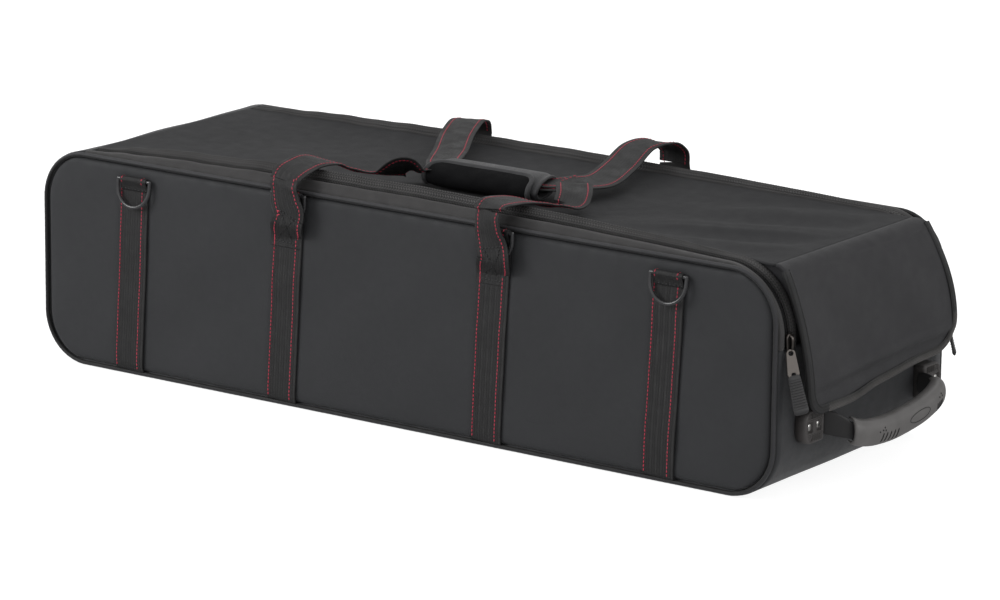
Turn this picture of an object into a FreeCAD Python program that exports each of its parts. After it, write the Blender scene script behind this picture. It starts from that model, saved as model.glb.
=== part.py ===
import FreeCAD, Part
import Sketcher
import math
import os

# Soft hardware case for drum stands: a padded boxy bag with a zipped lid, two carry
# handles, D-rings, a haul handle at one end and two wheels at the other.
# Millimetres. X runs along the case towards the haul handle, the front faces -Y, Z is up.
# The origin is the centre of the base, on the floor.

SIZES = (
    ("case_length", 965, "over the piping, end to end"),
    ("case_depth", 330, "over the piping, front to rear"),
    ("case_height", 242, "over the piping, floor to rim"),
    ("corner_radius", 57, "outer corners of the front and rear panels"),
    ("piping_diameter", 6, "cord-filled piping round each panel"),
    ("panel_recess", 2, "panel face behind the piping's outer line"),
    ("seam_lap", 1, "panel edge lapped over the wall behind it"),
    ("end_panel_top", 160, "upper edge of the haul end's wall"),
    ("board_thickness", 3, "stiffening boards inside"),
    ("board_margin", 6, "board edge to the side walls"),
    ("board_height", 120, "board behind the haul handle"),
    ("fit_gap", 0.3, "clearance beside a moving piece"),
    ("zip_corner_radius", 70, "closure line round the haul end's corners"),
    ("closure_setback", 20, "closure line behind the case side"),
    ("zip_tail", 12, "closure line below the haul end's corner"),
    ("rim_thickness", 3, "padded band beside the zip"),
    ("tape_thickness", 1, "zip tape"),
    ("tape_width", 8, "zip tape beside its coil"),
    ("coil_width", 3, "coil of each zip half"),
    ("coil_proud", 1.5, "coil above its tape"),
    ("coil_gap", 1.6, "space between the closed coils"),
    ("front_rise", 9.4, "rim band's climb from the front piping"),
    ("front_crest", 8.2, "lid edge above the front rim band"),
    ("rear_rise", 5, "rim band's climb from the rear piping"),
    ("rear_crest", 5, "lid edge above the rear rim band"),
    ("binding_width", 8, "bound edge of the lid"),
    ("binding_lip", 0.5, "lid binding above the rim band"),
    ("lid_thickness", 3, "lid fabric and its foam"),
    ("lid_sag", 6, "lid's middle below the rim"),
    ("lid_overlap", 1.8, "hinge of the lid over the end wall's edge"),
    ("crease_setback", 11.5, "lid's crease inside the haul end"),
    ("crease_drop", 2.5, "lid's crease below the rim"),
    ("gore_thickness", 2.5, "side gores that close the lid's corner"),
    ("liner_thickness", 2, "inner end panel behind the flap"),
    ("flap_thickness", 4, "end flap"),
    ("flap_drop", 150, "end flap, crease to lower edge"),
    ("flap_stand", 21, "flap's lower edge outside the haul end"),
    ("flap_belly", 9, "flap's bow outside its chord"),
    ("flap_top_width", 276, "end flap at the crease"),
    ("flap_low_width", 240, "end flap at its lower edge"),
    ("flap_corner", 24, "flap's lower corners"),
    ("edge_band", 9, "binding on the flap's edge"),
    ("edge_proud", 1, "flap's binding above its face"),
    ("web_width", 39, "strap webbing"),
    ("web_thickness", 2, "strap webbing"),
    ("strap_lean", 13, "a strap's foot beside its top, towards the hinge end"),
    ("left_strap_place", -348, "strap nearest the hinge end"),
    ("left_handle_place", -135, "strap under a carry handle's left end"),
    ("right_handle_place", 137, "strap under a carry handle's right end"),
    ("right_strap_place", 354, "strap nearest the haul end"),
    ("ring_bar_height", 222, "bar of an outer D-ring"),
    ("handle_ring_height", 236, "bar of a D-ring behind a handle"),
    ("ring_wire", 4, "D-ring wire"),
    ("ring_width", 44, "D-ring, wire middle to wire middle"),
    ("ring_side", 8, "D-ring's straight sides"),
    ("ring_lean", 8, "outer D-ring's lean off the panel, degrees"),
    ("covered_ring_lean", 2, "lean of a D-ring behind a handle, degrees"),
    ("tab_length", 11, "sewn tail of a ring tab"),
    ("tab_thickness", 1.5, "ring tab webbing"),
    ("running_gap", 0.08, "running clearance round a pin"),
    ("stitch_low", 176, "lower end of a handle's sewn tail"),
    ("stitch_high", 188, "upper end of a handle's sewn tail"),
    ("tail_rise", 12, "handle tail from its stitching to its full bulge"),
    ("tail_bulge", 12.5, "handle tail in front of the piping, over its ring"),
    ("pivot_height", 251, "fold of a carry handle above the floor"),
    ("pivot_stand", 8, "fold of a carry handle outside the piping"),
    ("grip_place_x", 36, "middle of the wrapped grip, along the case"),
    ("grip_place_y", -30, "middle of the wrapped grip, across the case"),
    ("grip_height", 252, "middle of the wrapped grip above the floor"),
    ("grip_length", 138, "padded wrap"),
    ("grip_width", 62, "padded wrap"),
    ("grip_thickness", 20, "padded wrap"),
    ("grip_wall", 4, "padding of the wrap"),
    ("grip_round", 8.5, "wrap's long edges"),
    ("grip_mouth", 7, "flat webbing outside each end of the wrap"),
    ("handle_lift", 14, "hump of a handle's leg over the lid's edge"),
    ("web_stack", 2.2, "middle of each handle's web from the grip's middle"),
    ("haul_place", 8, "middle of the haul handle, across the case"),
    ("haul_spacing", 231, "haul bracket to haul bracket"),
    ("haul_height", 73, "haul handle's pivot above the floor"),
    ("haul_stand", 6.5, "haul handle's pivot outside the end wall"),
    ("bracket_length", 36, "haul bracket across the case"),
    ("bracket_height", 36, "haul bracket"),
    ("bracket_depth", 13, "haul bracket"),
    ("bracket_round", 2.6, "haul bracket's outer edges"),
    ("bracket_rivet_pitch", 19, "a haul bracket's two rivets, side by side"),
    ("trunnion_radius", 3.5, "round end of the haul strap"),
    ("trunnion_depth", 5, "round end inside its bracket"),
    ("haul_reach", 36, "haul strap's bow"),
    ("haul_sag", 17, "middle of the haul strap below its ends"),
    ("haul_web_width", 24, "haul strap"),
    ("haul_web_end", 11, "haul strap at its brackets"),
    ("haul_web_thickness", 3.5, "haul strap"),
    ("haul_grip_width", 30, "moulded grip"),
    ("haul_grip_thickness", 11, "moulded grip"),
    ("rivet_radius", 2.5, "rivet shank"),
    ("rivet_head_radius", 4.5, "rivet head"),
    ("rivet_head", 1.5, "rivet head's height"),
    ("wheel_radius", 28, "wheel over its tyre"),
    ("wheel_width", 22, "wheel"),
    ("wheel_overhang", 8, "wheel outside the hinge end"),
    ("wheel_clear", 0.4, "wheel above the floor while the case lies flat"),
    ("wheel_track", 220, "wheel to wheel"),
    ("tyre_thickness", 8, "tyre"),
    ("wheel_gap", 2.5, "wheel to its housing"),
    ("axle_radius", 4, "wheel axle"),
    ("bush_wall", 2.5, "plain bush in the hub"),
    ("bush_length", 7, "plain bush"),
    ("housing_wall", 3, "wheel housing"),
    ("flange_height", 22, "housing's plate on the end wall"),
    ("flange_side", 7, "housing's plate beside the wheel"),
    ("gore_rise", 50, "side gore's lower edge below the lid's crease"),
    ("slider_length", 14, "zip slider"),
    ("slider_width", 10.5, "zip slider"),
    ("slider_plate", 2, "zip slider's plates"),
    ("slider_gap", 0.9, "zip slider's plates to what they run on"),
    ("slider_neck", 1, "slider's neck between the coils"),
    ("puller_pin", 1.2, "slider's cross bar"),
    ("puller_length", 28, "metal puller"),
    ("puller_width", 8, "metal puller"),
    ("puller_thickness", 1.8, "metal puller"),
    ("puller_eye_wall", 1, "puller round the slider's bar"),
    ("pull_tab_length", 36, "moulded tab on the puller"),
    ("pull_tab_width", 11, "moulded tab on the puller"),
    ("pull_tab_thickness", 4, "moulded tab on the puller"),
    ("pull_tab_round", 1, "moulded tab's edges"),
)

# Places along the straight rim, as shares of it from the hinge end, with the share of
# the rim's rise, of the lid's crest and of the lid's sag that the fabric has there.
RIM_SHARES = ((0.0, 0.0, 0.0, 0.0), (0.1, 0.55, 0.6, 0.5), (0.3, 0.95, 0.95, 0.9),
              (0.54, 1.0, 1.0, 1.0), (0.76, 0.75, 0.85, 0.9), (0.93, 0.3, 0.55, 0.5),
              (1.0, 0.0, 0.3, 0.25))
CORNER_STEPS = 10
LINER_START_SHARE = 0.2

# A carry handle's legs from its fold to the grip: share of the way along to the grip's
# end, share of the way across, and share of the leg's hump.
LEFT_LEG_SHARES = ((0.0, 0.0, 0.0), (0.03, 0.12, 0.8), (0.12, 0.26, 1.0), (0.3, 0.45, 0.45),
                   (0.5, 0.68, 0.3), (0.72, 0.9, 0.1))
RIGHT_LEG_SHARES = ((0.0, 0.0, 0.0), (0.1, 0.12, 0.8), (0.1, 0.26, 1.0), (-0.1, 0.5, 0.4),
                    (-0.6, 0.78, 0.2), (-0.2, 0.97, 0.05))
BOW_SHARES = ((0.0, 0.0), (0.12, 0.22), (0.17, 0.5), (0.25, 0.82), (0.395, 1.0), (0.565, 0.95),
              (0.735, 0.74), (0.85, 0.5), (0.92, 0.22), (1.0, 0.0))
GRIP_SHARES = ((0.165, 0.47), (0.2, 0.62), (0.25, 0.82), (0.395, 1.0), (0.565, 0.95),
               (0.735, 0.74), (0.85, 0.5))

doc = FreeCAD.newDocument("HardwareCase")
V = FreeCAD.Vector
ALONG, ACROSS, UP = V(1, 0, 0), V(0, 1, 0), V(0, 0, 1)

sheet = doc.addObject("Spreadsheet::Sheet", "Sizes")
for row, (alias, number, note) in enumerate(SIZES, start=1):
    sheet.set("A%d" % row, note)
    sheet.set("B%d" % row, str(number))
    sheet.setAlias("B%d" % row, alias)
doc.recompute()


class Reader:
    """Reads a named size from the sheet."""

    def __getattr__(self, alias):
        return float(sheet.get(alias))


s = Reader()

# Sizes that follow from the named ones
half_length = s.case_length / 2
half_depth = s.case_depth / 2
wall = s.piping_diameter + s.seam_lap
side = half_depth - s.piping_diameter
straight_half = half_length - s.corner_radius
zip_centre = V(half_length - s.zip_corner_radius, 0, s.case_height - s.zip_corner_radius)
rim_length = zip_centre.x + straight_half
panel_face = half_depth - s.panel_recess
strap_face = panel_face + s.web_thickness
closure = half_depth - s.closure_setback
coil_edge = closure + s.coil_gap / 2
coil_back = coil_edge + s.coil_width
lid_coil_edge = closure - s.coil_gap / 2
lid_coil_back = lid_coil_edge - s.coil_width
lid_side = lid_coil_back - s.binding_width
lid_hinge = V(-straight_half, 0, s.case_height + s.lid_overlap)
crease = V(half_length - s.crease_setback, 0, s.case_height - s.crease_drop)
FRONT, REAR = -1, 1
nodes = []


def keep(feature, label):
    """Names a finished sub-part and lists it for export."""
    feature.Label = label
    nodes.append(feature)
    return feature


def formed(label, shape):
    """A sub-part whose shape is made with Part's own functions."""
    feature = doc.addObject("Part::Feature", label)
    feature.Shape = shape
    feature.Placement = shape.Placement
    return keep(feature, label)


def bound(kind, name, expressions):
    """A Part primitive whose sizes and place follow the sheet."""
    feature = doc.addObject(kind, name)
    for prop, text in expressions.items():
        feature.setExpression(prop, text)
    return feature


def bound_box(name, length, width, height, x, y, z):
    """A sheet-bound box, placed by its lowest corner."""
    return bound("Part::Box", name, {
        "Length": length, "Width": width, "Height": height, "Placement.Base.x": x,
        "Placement.Base.y": y, "Placement.Base.z": z})


def drilled(label, blank, holes):
    """A sheet-bound blank with its rivet holes."""
    tool = doc.addObject("Part::Feature", label + "_holes")
    tool.Shape = Part.makeCompound(holes)
    cut = doc.addObject("Part::Cut", label)
    cut.Base = blank
    cut.Tool = tool
    return keep(cut, label)


def block(x, y, z):
    """A box between two places on each axis."""
    sizes = (x[1] - x[0], y[1] - y[0], z[1] - z[0])
    return Part.makeBox(*sizes, V(x[0], y[0], z[0]))


def prism(points, direction):
    return Part.Face(Part.makePolygon(list(points) + [points[0]])).extrude(direction)


def rod(start, direction, radius, length):
    return Part.makeCylinder(radius, length, start, direction)


def loft(sections):
    return Part.makeLoft(sections, True, True)


def turned(shape, centre, axis, degrees):
    copy = shape.copy()
    copy.rotate(centre, axis, degrees)
    return copy


# Front and rear panels: padded rounded rectangles inside the piping
def side_panel(label, face_place):
    body = doc.addObject("PartDesign::Body", label + "_body")
    sketch = body.newObject("Sketcher::SketchObject", label + "_outline")
    upright = [plane for plane in body.Origin.OriginFeatures if plane.Role == "XZ_Plane"][0]
    sketch.AttachmentSupport = [(upright, "")]
    sketch.MapMode = "FlatFace"
    reach = half_length - s.piping_diameter
    low, high = s.piping_diameter, s.case_height - s.piping_diameter
    corners = (V(-reach, low, 0), V(reach, low, 0), V(reach, high, 0), V(-reach, high, 0))
    for index in range(len(corners)):
        sketch.addGeometry(Part.LineSegment(corners[index - 1], corners[index]))
    for index in range(len(corners)):
        sketch.addConstraint(Sketcher.Constraint("Coincident", index - 1 if index else 3, 2,
                                                 index, 1))
    for kind, index in (("Vertical", 0), ("Horizontal", 1), ("Vertical", 2), ("Horizontal", 3)):
        sketch.addConstraint(Sketcher.Constraint(kind, index))
    measures = (
        ("reach", "DistanceX", (-1, 1, 1, 2), reach, "Sizes.case_length/2-Sizes.piping_diameter"),
        ("width", "DistanceX", (1, 1, 1, 2), 2 * reach, "Sizes.case_length-2*Sizes.piping_diameter"),
        ("low", "DistanceY", (-1, 1, 1, 1), low, "Sizes.piping_diameter"),
        ("rise", "DistanceY", (2, 1, 2, 2), high - low, "Sizes.case_height-2*Sizes.piping_diameter"))
    for name, kind, points, number, text in measures:
        index = sketch.addConstraint(Sketcher.Constraint(kind, *points, number))
        sketch.renameConstraint(index, name)
        sketch.setExpression("Constraints." + name, text)
    pad = body.newObject("PartDesign::Pad", label + "_pad")
    pad.Profile = sketch
    pad.setExpression("Length", "Sizes.piping_diameter-Sizes.panel_recess")
    doc.recompute()
    edges = ["Edge%d" % number for number, edge in enumerate(pad.Shape.Edges, start=1)
             if edge.BoundBox.XLength + edge.BoundBox.ZLength < s.seam_lap]
    fillet = body.newObject("PartDesign::Fillet", label + "_corners")
    fillet.Base = (pad, edges)
    fillet.setExpression("Radius", "Sizes.corner_radius-Sizes.piping_diameter")
    doc.recompute()
    shift = face_place - fillet.Shape.BoundBox.YMin
    body.Placement = FreeCAD.Placement(V(0, shift, 0), FreeCAD.Rotation())
    return keep(body, label)


side_panel("front_panel", -panel_face)
side_panel("rear_panel", side)


# Piping: a sewn cord round the outline of each panel
def piping(label, place):
    radius = s.piping_diameter / 2
    inset_x, high = half_length - radius, s.case_height - radius
    turn = s.corner_radius - radius
    runs = ((V(-straight_half, place, radius), ALONG, 2 * straight_half),
            (V(-straight_half, place, high), ALONG, 2 * straight_half),
            (V(-inset_x, place, s.corner_radius), UP, s.case_height - 2 * s.corner_radius),
            (V(inset_x, place, s.corner_radius), UP, s.case_height - 2 * s.corner_radius))
    pieces = [rod(start, direction, radius, length) for start, direction, length in runs]
    corner_high = s.case_height - s.corner_radius
    for x, z, first in ((straight_half, corner_high, 0), (-straight_half, corner_high, 90),
                        (-straight_half, s.corner_radius, 180),
                        (straight_half, s.corner_radius, 270)):
        ring = Part.makeTorus(turn, radius, V(0, 0, 0), UP, 0, 360, 90)
        ring.rotate(V(0, 0, 0), ALONG, 90)
        ring.rotate(V(0, 0, 0), ACROSS, -first)
        ring.translate(V(x, place, z))
        pieces.append(ring)
    return formed(label, pieces[0].fuse(pieces[1:]).removeSplitter())


piping("front_piping", s.piping_diameter / 2 - half_depth)
piping("rear_piping", half_depth - s.piping_diameter / 2)


# Rivet places, on the haul end for its brackets and on the hinge end for the wheels
bracket_places = (s.haul_place - s.haul_spacing / 2, s.haul_place + s.haul_spacing / 2)
wheel_places = (-s.wheel_track / 2, s.wheel_track / 2)
cheek = s.wheel_width / 2 + s.wheel_gap


def haul_rivet_places(place):
    """A bracket's two rivets, beyond the socket that the strap turns in."""
    return [V(half_length, place + offset * s.bracket_rivet_pitch / 2, s.haul_height)
            for offset in (-1, 1)]


def flange_rivet_places(place):
    return [V(-half_length - s.housing_wall, place + offset * (cheek - s.rivet_radius),
              housing_top() + s.flange_height / 2) for offset in (-1, 1)]


def rivet_holes(points, start, length):
    """Holes along the case, from a distance beside each rivet's place."""
    return [rod(point + ALONG * start, ALONG, s.rivet_radius, length) for point in points]


def haul_rivet_holes(start, length):
    points = haul_rivet_places(bracket_places[0]) + haul_rivet_places(bracket_places[1])
    return rivet_holes(points, start, length)


# Walls: the padded band between the panels, as base, hinge end and haul end
def corner_band(x, z, first):
    """A quarter of the wall round one corner of the case."""
    outer = Part.makeCylinder(s.corner_radius, 2 * side, V(x, -side, z), ACROSS)
    inner = Part.makeCylinder(s.corner_radius - wall, 2 * side, V(x, -side, z), ACROSS)
    quadrant = Part.makeBox(s.corner_radius, 2 * side, s.corner_radius, V(x, -side, z))
    return outer.cut(inner).common(turned(quadrant, V(x, 0, z), ACROSS, -first))


def wheel_block(place):
    """The space of one wheel housing, rounded like the hinge end's lower corner."""
    half = s.wheel_width / 2 + s.wheel_gap + s.housing_wall
    corner = rod(V(-straight_half, place - half, s.corner_radius), ACROSS, s.corner_radius,
                 2 * half)
    above = block((-half_length, -straight_half), (place - half, place + half),
                  (s.corner_radius, housing_top()))
    blank = block((-half_length, -straight_half), (place - half, place + half),
                  (0, s.corner_radius))
    return blank.common(corner).fuse(above).removeSplitter()


def housing_top():
    return s.wheel_clear + 2 * s.wheel_radius + s.wheel_gap + s.housing_wall


def hinge_end():
    corner_high = s.case_height - s.corner_radius
    upright = block((-half_length, wall - half_length), (-side, side),
                    (s.corner_radius, corner_high))
    band = upright.fuse([corner_band(-straight_half, corner_high, 90),
                         corner_band(-straight_half, s.corner_radius, 180)]).removeSplitter()
    wells = [wheel_block(place) for place in wheel_places]
    points = flange_rivet_places(wheel_places[0]) + flange_rivet_places(wheel_places[1])
    holes = rivet_holes(points, s.housing_wall, wall)
    return formed("hinge_end_panel", band.cut(wells + holes))


def haul_end():
    upright = block((half_length - wall, half_length), (-side, side),
                    (s.corner_radius, s.end_panel_top))
    band = upright.fuse(corner_band(straight_half, s.corner_radius, 270))
    holes = haul_rivet_holes(-wall, wall)
    return formed("haul_end_panel", band.removeSplitter().cut(holes))


hinge_end()
haul_end()
base = bound_box("base_box", "Sizes.case_length-2*Sizes.corner_radius",
                 "Sizes.case_depth-2*Sizes.piping_diameter",
                 "Sizes.piping_diameter+Sizes.seam_lap",
                 "Sizes.corner_radius-Sizes.case_length/2",
                 "Sizes.piping_diameter-Sizes.case_depth/2", "0")
keep(base, "base_panel")
base_board = bound_box("base_board_box", "Sizes.case_length-2*Sizes.corner_radius",
                       "Sizes.case_depth-2*Sizes.piping_diameter-2*Sizes.board_margin",
                       "Sizes.board_thickness", "Sizes.corner_radius-Sizes.case_length/2",
                       "Sizes.piping_diameter+Sizes.board_margin-Sizes.case_depth/2",
                       "Sizes.piping_diameter+Sizes.seam_lap")
keep(base_board, "base_board")
haul_board = bound_box("haul_board_box", "Sizes.board_thickness",
                       "Sizes.case_depth-2*Sizes.piping_diameter-2*Sizes.board_margin",
                       "Sizes.board_height-Sizes.corner_radius",
                       "Sizes.case_length/2-Sizes.piping_diameter-Sizes.seam_lap"
                       "-Sizes.board_thickness",
                       "Sizes.piping_diameter+Sizes.board_margin-Sizes.case_depth/2",
                       "Sizes.corner_radius")
drilled("haul_end_board", haul_board,
        haul_rivet_holes(-wall - s.board_thickness, s.board_thickness))


# The closure line: straight along the rim, then round the haul end's corner and down
def line_stations(front_or_rear, lowest):
    """Places on the line, each with its outward direction, rise and crest."""
    rise, crest = (s.front_rise, s.front_crest) if front_or_rear == FRONT else (s.rear_rise,
                                                                             s.rear_crest)
    stations = [(V(-straight_half + share * rim_length, 0, s.case_height), UP,
                 rise * rise_share, crest * crest_share)
                for share, rise_share, crest_share, sag_share in RIM_SHARES]
    last_crest = crest * RIM_SHARES[-1][2]
    for step in range(1, CORNER_STEPS + 1):
        angle = math.radians(90 * (1 - step / CORNER_STEPS))
        outward = V(math.cos(angle), 0, math.sin(angle))
        stations.append((zip_centre + outward * s.zip_corner_radius, outward, 0, last_crest))
    stations.append((V(half_length, 0, lowest), ALONG, 0, last_crest))
    return stations


def along_line(front_or_rear, profile, stations):
    """A profile carried along the line: across, out of the face, rise share, crest share."""
    sections = []
    for place, outward, rise, crest in stations:
        points = [place + outward * (out + rise * rise_share + crest * crest_share)
                  + ACROSS * (front_or_rear * across)
                  for across, out, rise_share, crest_share in profile]
        sections.append(Part.makePolygon(points + [points[0]]))
    return loft(sections)


def closure_pieces(name, front_or_rear):
    """Rim band, the two zip halves and the lid's bound edge on one side."""
    tail = zip_centre.z - s.zip_tail
    stations = line_stations(front_or_rear, tail)
    lid_stations = line_stations(front_or_rear, tail + s.fit_gap)
    under = -s.rim_thickness
    tape_low = under - s.tape_thickness
    coil_top = under + s.coil_proud
    tape_start = coil_back + s.tape_width
    start_share = (side - tape_start) / (side - coil_back)
    formed(name + "_rim_band", along_line(front_or_rear, (
        (side, under, 0, 0), (side, 0, 0, 0), (coil_back, 0, 1, 0), (coil_back, under, 1, 0)),
        stations))
    formed(name + "_zip_case_half", along_line(front_or_rear, (
        (tape_start, tape_low, start_share, 0), (tape_start, under, start_share, 0),
        (coil_back, under, 1, 0), (coil_back, coil_top, 1, 0), (coil_edge, coil_top, 1, 0),
        (coil_edge, tape_low, 1, 0), (coil_back, tape_low, 1, 0)), stations))
    formed(name + "_zip_lid_half", along_line(front_or_rear, (
        (lid_coil_edge, tape_low, 1, 0), (lid_coil_edge, coil_top, 1, 0),
        (lid_coil_back, coil_top, 1, 0), (lid_coil_back, under, 1, 0),
        (lid_side, under, 1, 0), (lid_side, tape_low, 1, 0)), lid_stations))
    formed(name + "_lid_binding", along_line(front_or_rear, (
        (lid_coil_back, under, 1, 0), (lid_coil_back, s.binding_lip, 1, 0),
        (lid_side, s.binding_lip, 1, 1), (lid_side, under, 1, 0)), lid_stations))


closure_pieces("front", FRONT)
closure_pieces("rear", REAR)


# Lid: one padded sheet that sags between its bound edges, sewn down at the hinge end
def lid_section(x, front_top, middle_top, rear_top):
    def curve(drop):
        return Part.Arc(V(x, -lid_side, front_top - drop), V(x, 0, middle_top - drop),
                        V(x, lid_side, rear_top - drop)).toShape()
    drop = s.lid_thickness
    ends = [Part.makeLine(V(x, place, top), V(x, place, top - drop))
            for place, top in ((-lid_side, front_top), (lid_side, rear_top))]
    return Part.Wire(Part.__sortEdges__([curve(0), ends[1], curve(drop), ends[0]]))


def lid_heights(rise_share, crest_share, sag_share):
    """Height of the lid's face at its front edge, its middle and its rear edge."""
    base_height = s.case_height + s.binding_lip
    front = base_height + s.front_rise * rise_share + s.front_crest * crest_share
    rear = base_height + s.rear_rise * rise_share + s.rear_crest * crest_share
    middle = s.case_height + s.binding_lip - s.lid_sag * sag_share
    return front, middle, rear


def lid_panel():
    roll = s.lid_thickness / 2
    top = lid_hinge.z + roll
    slack = s.binding_lip
    sections = [lid_section(lid_hinge.x, top, top - slack, top)]
    for share, rise_share, crest_share, sag_share in RIM_SHARES[1:]:
        sections.append(lid_section(-straight_half + share * rim_length,
                                    *lid_heights(rise_share, crest_share, sag_share)))
    end_top = crease.z + roll
    sections.append(lid_section(crease.x - s.flap_thickness / 2 - s.fit_gap, end_top,
                                end_top - slack, end_top))
    hem = rod(lid_hinge - ACROSS * lid_side, ACROSS, roll, 2 * lid_side)
    return formed("lid_panel", loft(sections).fuse(hem))


lid_panel()


# Flap: hangs from the lid's crease over the haul end, bowed and bound round its edge
def flap_profile(inner, outer):
    """The flap's side view between two offsets from its middle surface."""
    low = V(half_length + s.flap_stand, 0, crease.z - s.flap_drop)
    middle = (crease + low) * 0.5 + ALONG * s.flap_belly
    chord = (low - crease).normalize()
    outward = V(-chord.z, 0, chord.x)
    curves = [Part.Arc(crease + outward * offset, middle + outward * offset,
                       low + outward * offset).toShape() for offset in (inner, outer)]
    ends = [Part.makeLine(point + outward * inner, point + outward * outer)
            for point in (crease, low)]
    wire = Part.Wire(Part.__sortEdges__([curves[0], ends[1], curves[1], ends[0]]))
    reach = s.flap_top_width
    face = Part.Face(wire)
    face.translate(V(0, -reach / 2, 0))
    return face.extrude(V(0, reach, 0))


def flap_outline(inset):
    """The flap's outline seen from the haul end, as a tapered plate with round corners."""
    top, low = s.flap_top_width / 2 - inset, s.flap_low_width / 2 - inset
    high_z, low_z = crease.z + s.flap_thickness, crease.z - s.flap_drop + inset
    start = crease.x - s.flap_thickness
    points = [V(start, -low, low_z), V(start, low, low_z), V(start, top, high_z),
              V(start, -top, high_z)]
    blank = prism(points, V(s.flap_drop, 0, 0))
    edges = [edge for edge in blank.Edges
             if edge.BoundBox.ZMax < low_z + s.seam_lap and edge.BoundBox.YLength < s.seam_lap]
    return blank.makeFillet(s.flap_corner, edges)


def flap():
    half = s.flap_thickness / 2
    sheet_solid = flap_profile(-half, half).common(flap_outline(0))
    fold = rod(crease - ACROSS * lid_side, ACROSS, half, 2 * lid_side)
    formed("end_flap", sheet_solid.fuse(fold).removeSplitter())
    below = block((crease.x - s.flap_drop, crease.x + s.flap_drop),
                  (-s.flap_top_width, s.flap_top_width),
                  (crease.z - 2 * s.flap_drop, crease.z - s.flap_thickness))
    ring = flap_outline(0).cut(flap_outline(s.edge_band)).common(below)
    formed("flap_binding", flap_profile(half, half + s.edge_proud).common(ring))


flap()


# Inner end panel: carries the lid's side of the zips round the corner, with its gores
def inner_end():
    tail = zip_centre.z - s.zip_tail + s.fit_gap
    stations = line_stations(FRONT, tail)[len(RIM_SHARES) - 1:]
    skip = round(CORNER_STEPS * LINER_START_SHARE)
    out = -s.rim_thickness - s.tape_thickness
    liner = along_line(FRONT, ((lid_side, out - s.liner_thickness, 0, 0), (lid_side, out, 0, 0),
                               (-lid_side, out, 0, 0), (-lid_side, out - s.liner_thickness, 0, 0)),
                       stations[skip:])
    under_lid = s.lid_thickness + s.fit_gap
    gore_outline = [V(zip_centre.x, 0, s.case_height - under_lid)]
    gore_outline += [V(crease.x - s.flap_thickness, 0, crease.z - under_lid),
                     V(half_length, 0, crease.z - s.gore_rise),
                     V(half_length, 0, zip_centre.z)]
    for step in range(CORNER_STEPS - 1, 0, -1):
        angle = math.radians(90 * (1 - step / CORNER_STEPS))
        outward = V(math.cos(angle), 0, math.sin(angle))
        gore_outline.append(zip_centre + outward * (s.zip_corner_radius + out))
    gores = []
    for edge in (-lid_side, lid_side - s.gore_thickness):
        gores.append(prism([point + ACROSS * edge for point in gore_outline],
                           ACROSS * s.gore_thickness))
    return formed("inner_end_panel", liner.fuse(gores).removeSplitter())


inner_end()


# Straps: webbing sewn up the front and rear panels
def strap(x, top, front_or_rear):
    """One strap, its foot a little nearer the hinge end than its top."""
    half, low = s.web_width / 2, s.piping_diameter
    lean = s.strap_lean * (top - low) / (s.case_height - 2 * low)
    foot = x - lean
    face = front_or_rear * panel_face
    outline = [V(foot - half, face, low), V(foot + half, face, low), V(x + half, face, top),
               V(x - half, face, top)]
    return prism(outline, ACROSS * (front_or_rear * s.web_thickness))


def straps(name, front_or_rear):
    places = ((s.left_strap_place, s.ring_bar_height),
              (s.left_handle_place, s.handle_ring_height),
              (s.right_handle_place, s.handle_ring_height),
              (s.right_strap_place, s.ring_bar_height))
    pieces = [strap(x, top, front_or_rear) for x, top in places]
    formed(name + "_straps", Part.makeCompound(pieces))


straps("front", FRONT)
straps("rear", REAR)


# D-rings and the folded tabs that hold them
def bar_place(x, height, front_or_rear):
    stand = strap_face + s.tab_thickness + s.ring_wire / 2 + s.running_gap
    return V(x, front_or_rear * stand, height)


def ring_tab(x, height, front_or_rear):
    """Webbing folded over the ring's bar, both tails sewn below it."""
    bar = bar_place(x, height, front_or_rear)
    bore = s.ring_wire / 2 + s.running_gap
    outer = bore + s.tab_thickness
    start = bar - ALONG * (s.web_width / 2)
    fold = rod(start, ALONG, outer, s.web_width)
    tails = block((start.x, start.x + s.web_width), (bar.y - outer, bar.y + outer),
                  (bar.z - s.tab_length, bar.z))
    slot = block((start.x, start.x + s.web_width), (bar.y - bore, bar.y + bore),
                 (bar.z - s.tab_length, bar.z))
    return fold.fuse(tails).cut([slot, rod(start, ALONG, bore, s.web_width)])


def d_ring(label, x, height, lean, front_or_rear):
    """A bent wire D: its straight bar turns in the tab, its bow hangs in front."""
    bar = bar_place(x, height, front_or_rear)
    radius, half = s.ring_wire / 2, s.ring_width / 2
    corners = [bar + ALONG * (end * half) for end in (-1, 1)]
    pieces = [rod(corners[0], ALONG, radius, s.ring_width)]
    for corner in corners:
        pieces.append(Part.makeSphere(radius, corner))
        pieces.append(rod(corner, UP * -1, radius, s.ring_side))
    bow = Part.makeTorus(half, radius, V(0, 0, 0), UP, 0, 360, 180)
    bow.rotate(V(0, 0, 0), ALONG, -90)
    bow.translate(bar - UP * s.ring_side)
    ring = pieces[0].fuse(pieces[1:] + [bow]).removeSplitter()
    ring.rotate(bar, ALONG, front_or_rear * lean)
    return formed(label, ring)


def rings(name, front_or_rear):
    places = ((s.left_strap_place, s.ring_bar_height, s.ring_lean),
              (s.left_handle_place, s.handle_ring_height, s.covered_ring_lean),
              (s.right_handle_place, s.handle_ring_height, s.covered_ring_lean),
              (s.right_strap_place, s.ring_bar_height, s.ring_lean))
    tabs = [ring_tab(x, height, front_or_rear) for x, height, lean in places]
    formed(name + "_ring_tabs", Part.makeCompound(tabs))
    for number, (x, height, lean) in enumerate(places, start=1):
        d_ring("%s_d_ring_%d" % (name, number), x, height, lean, front_or_rear)


rings("front", FRONT)
rings("rear", REAR)


# Carry handles: sewn tails outside the panels and free loops that lie over the lid
def pivot(x, front_or_rear):
    return V(x, front_or_rear * (half_depth + s.pivot_stand), s.pivot_height)


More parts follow.
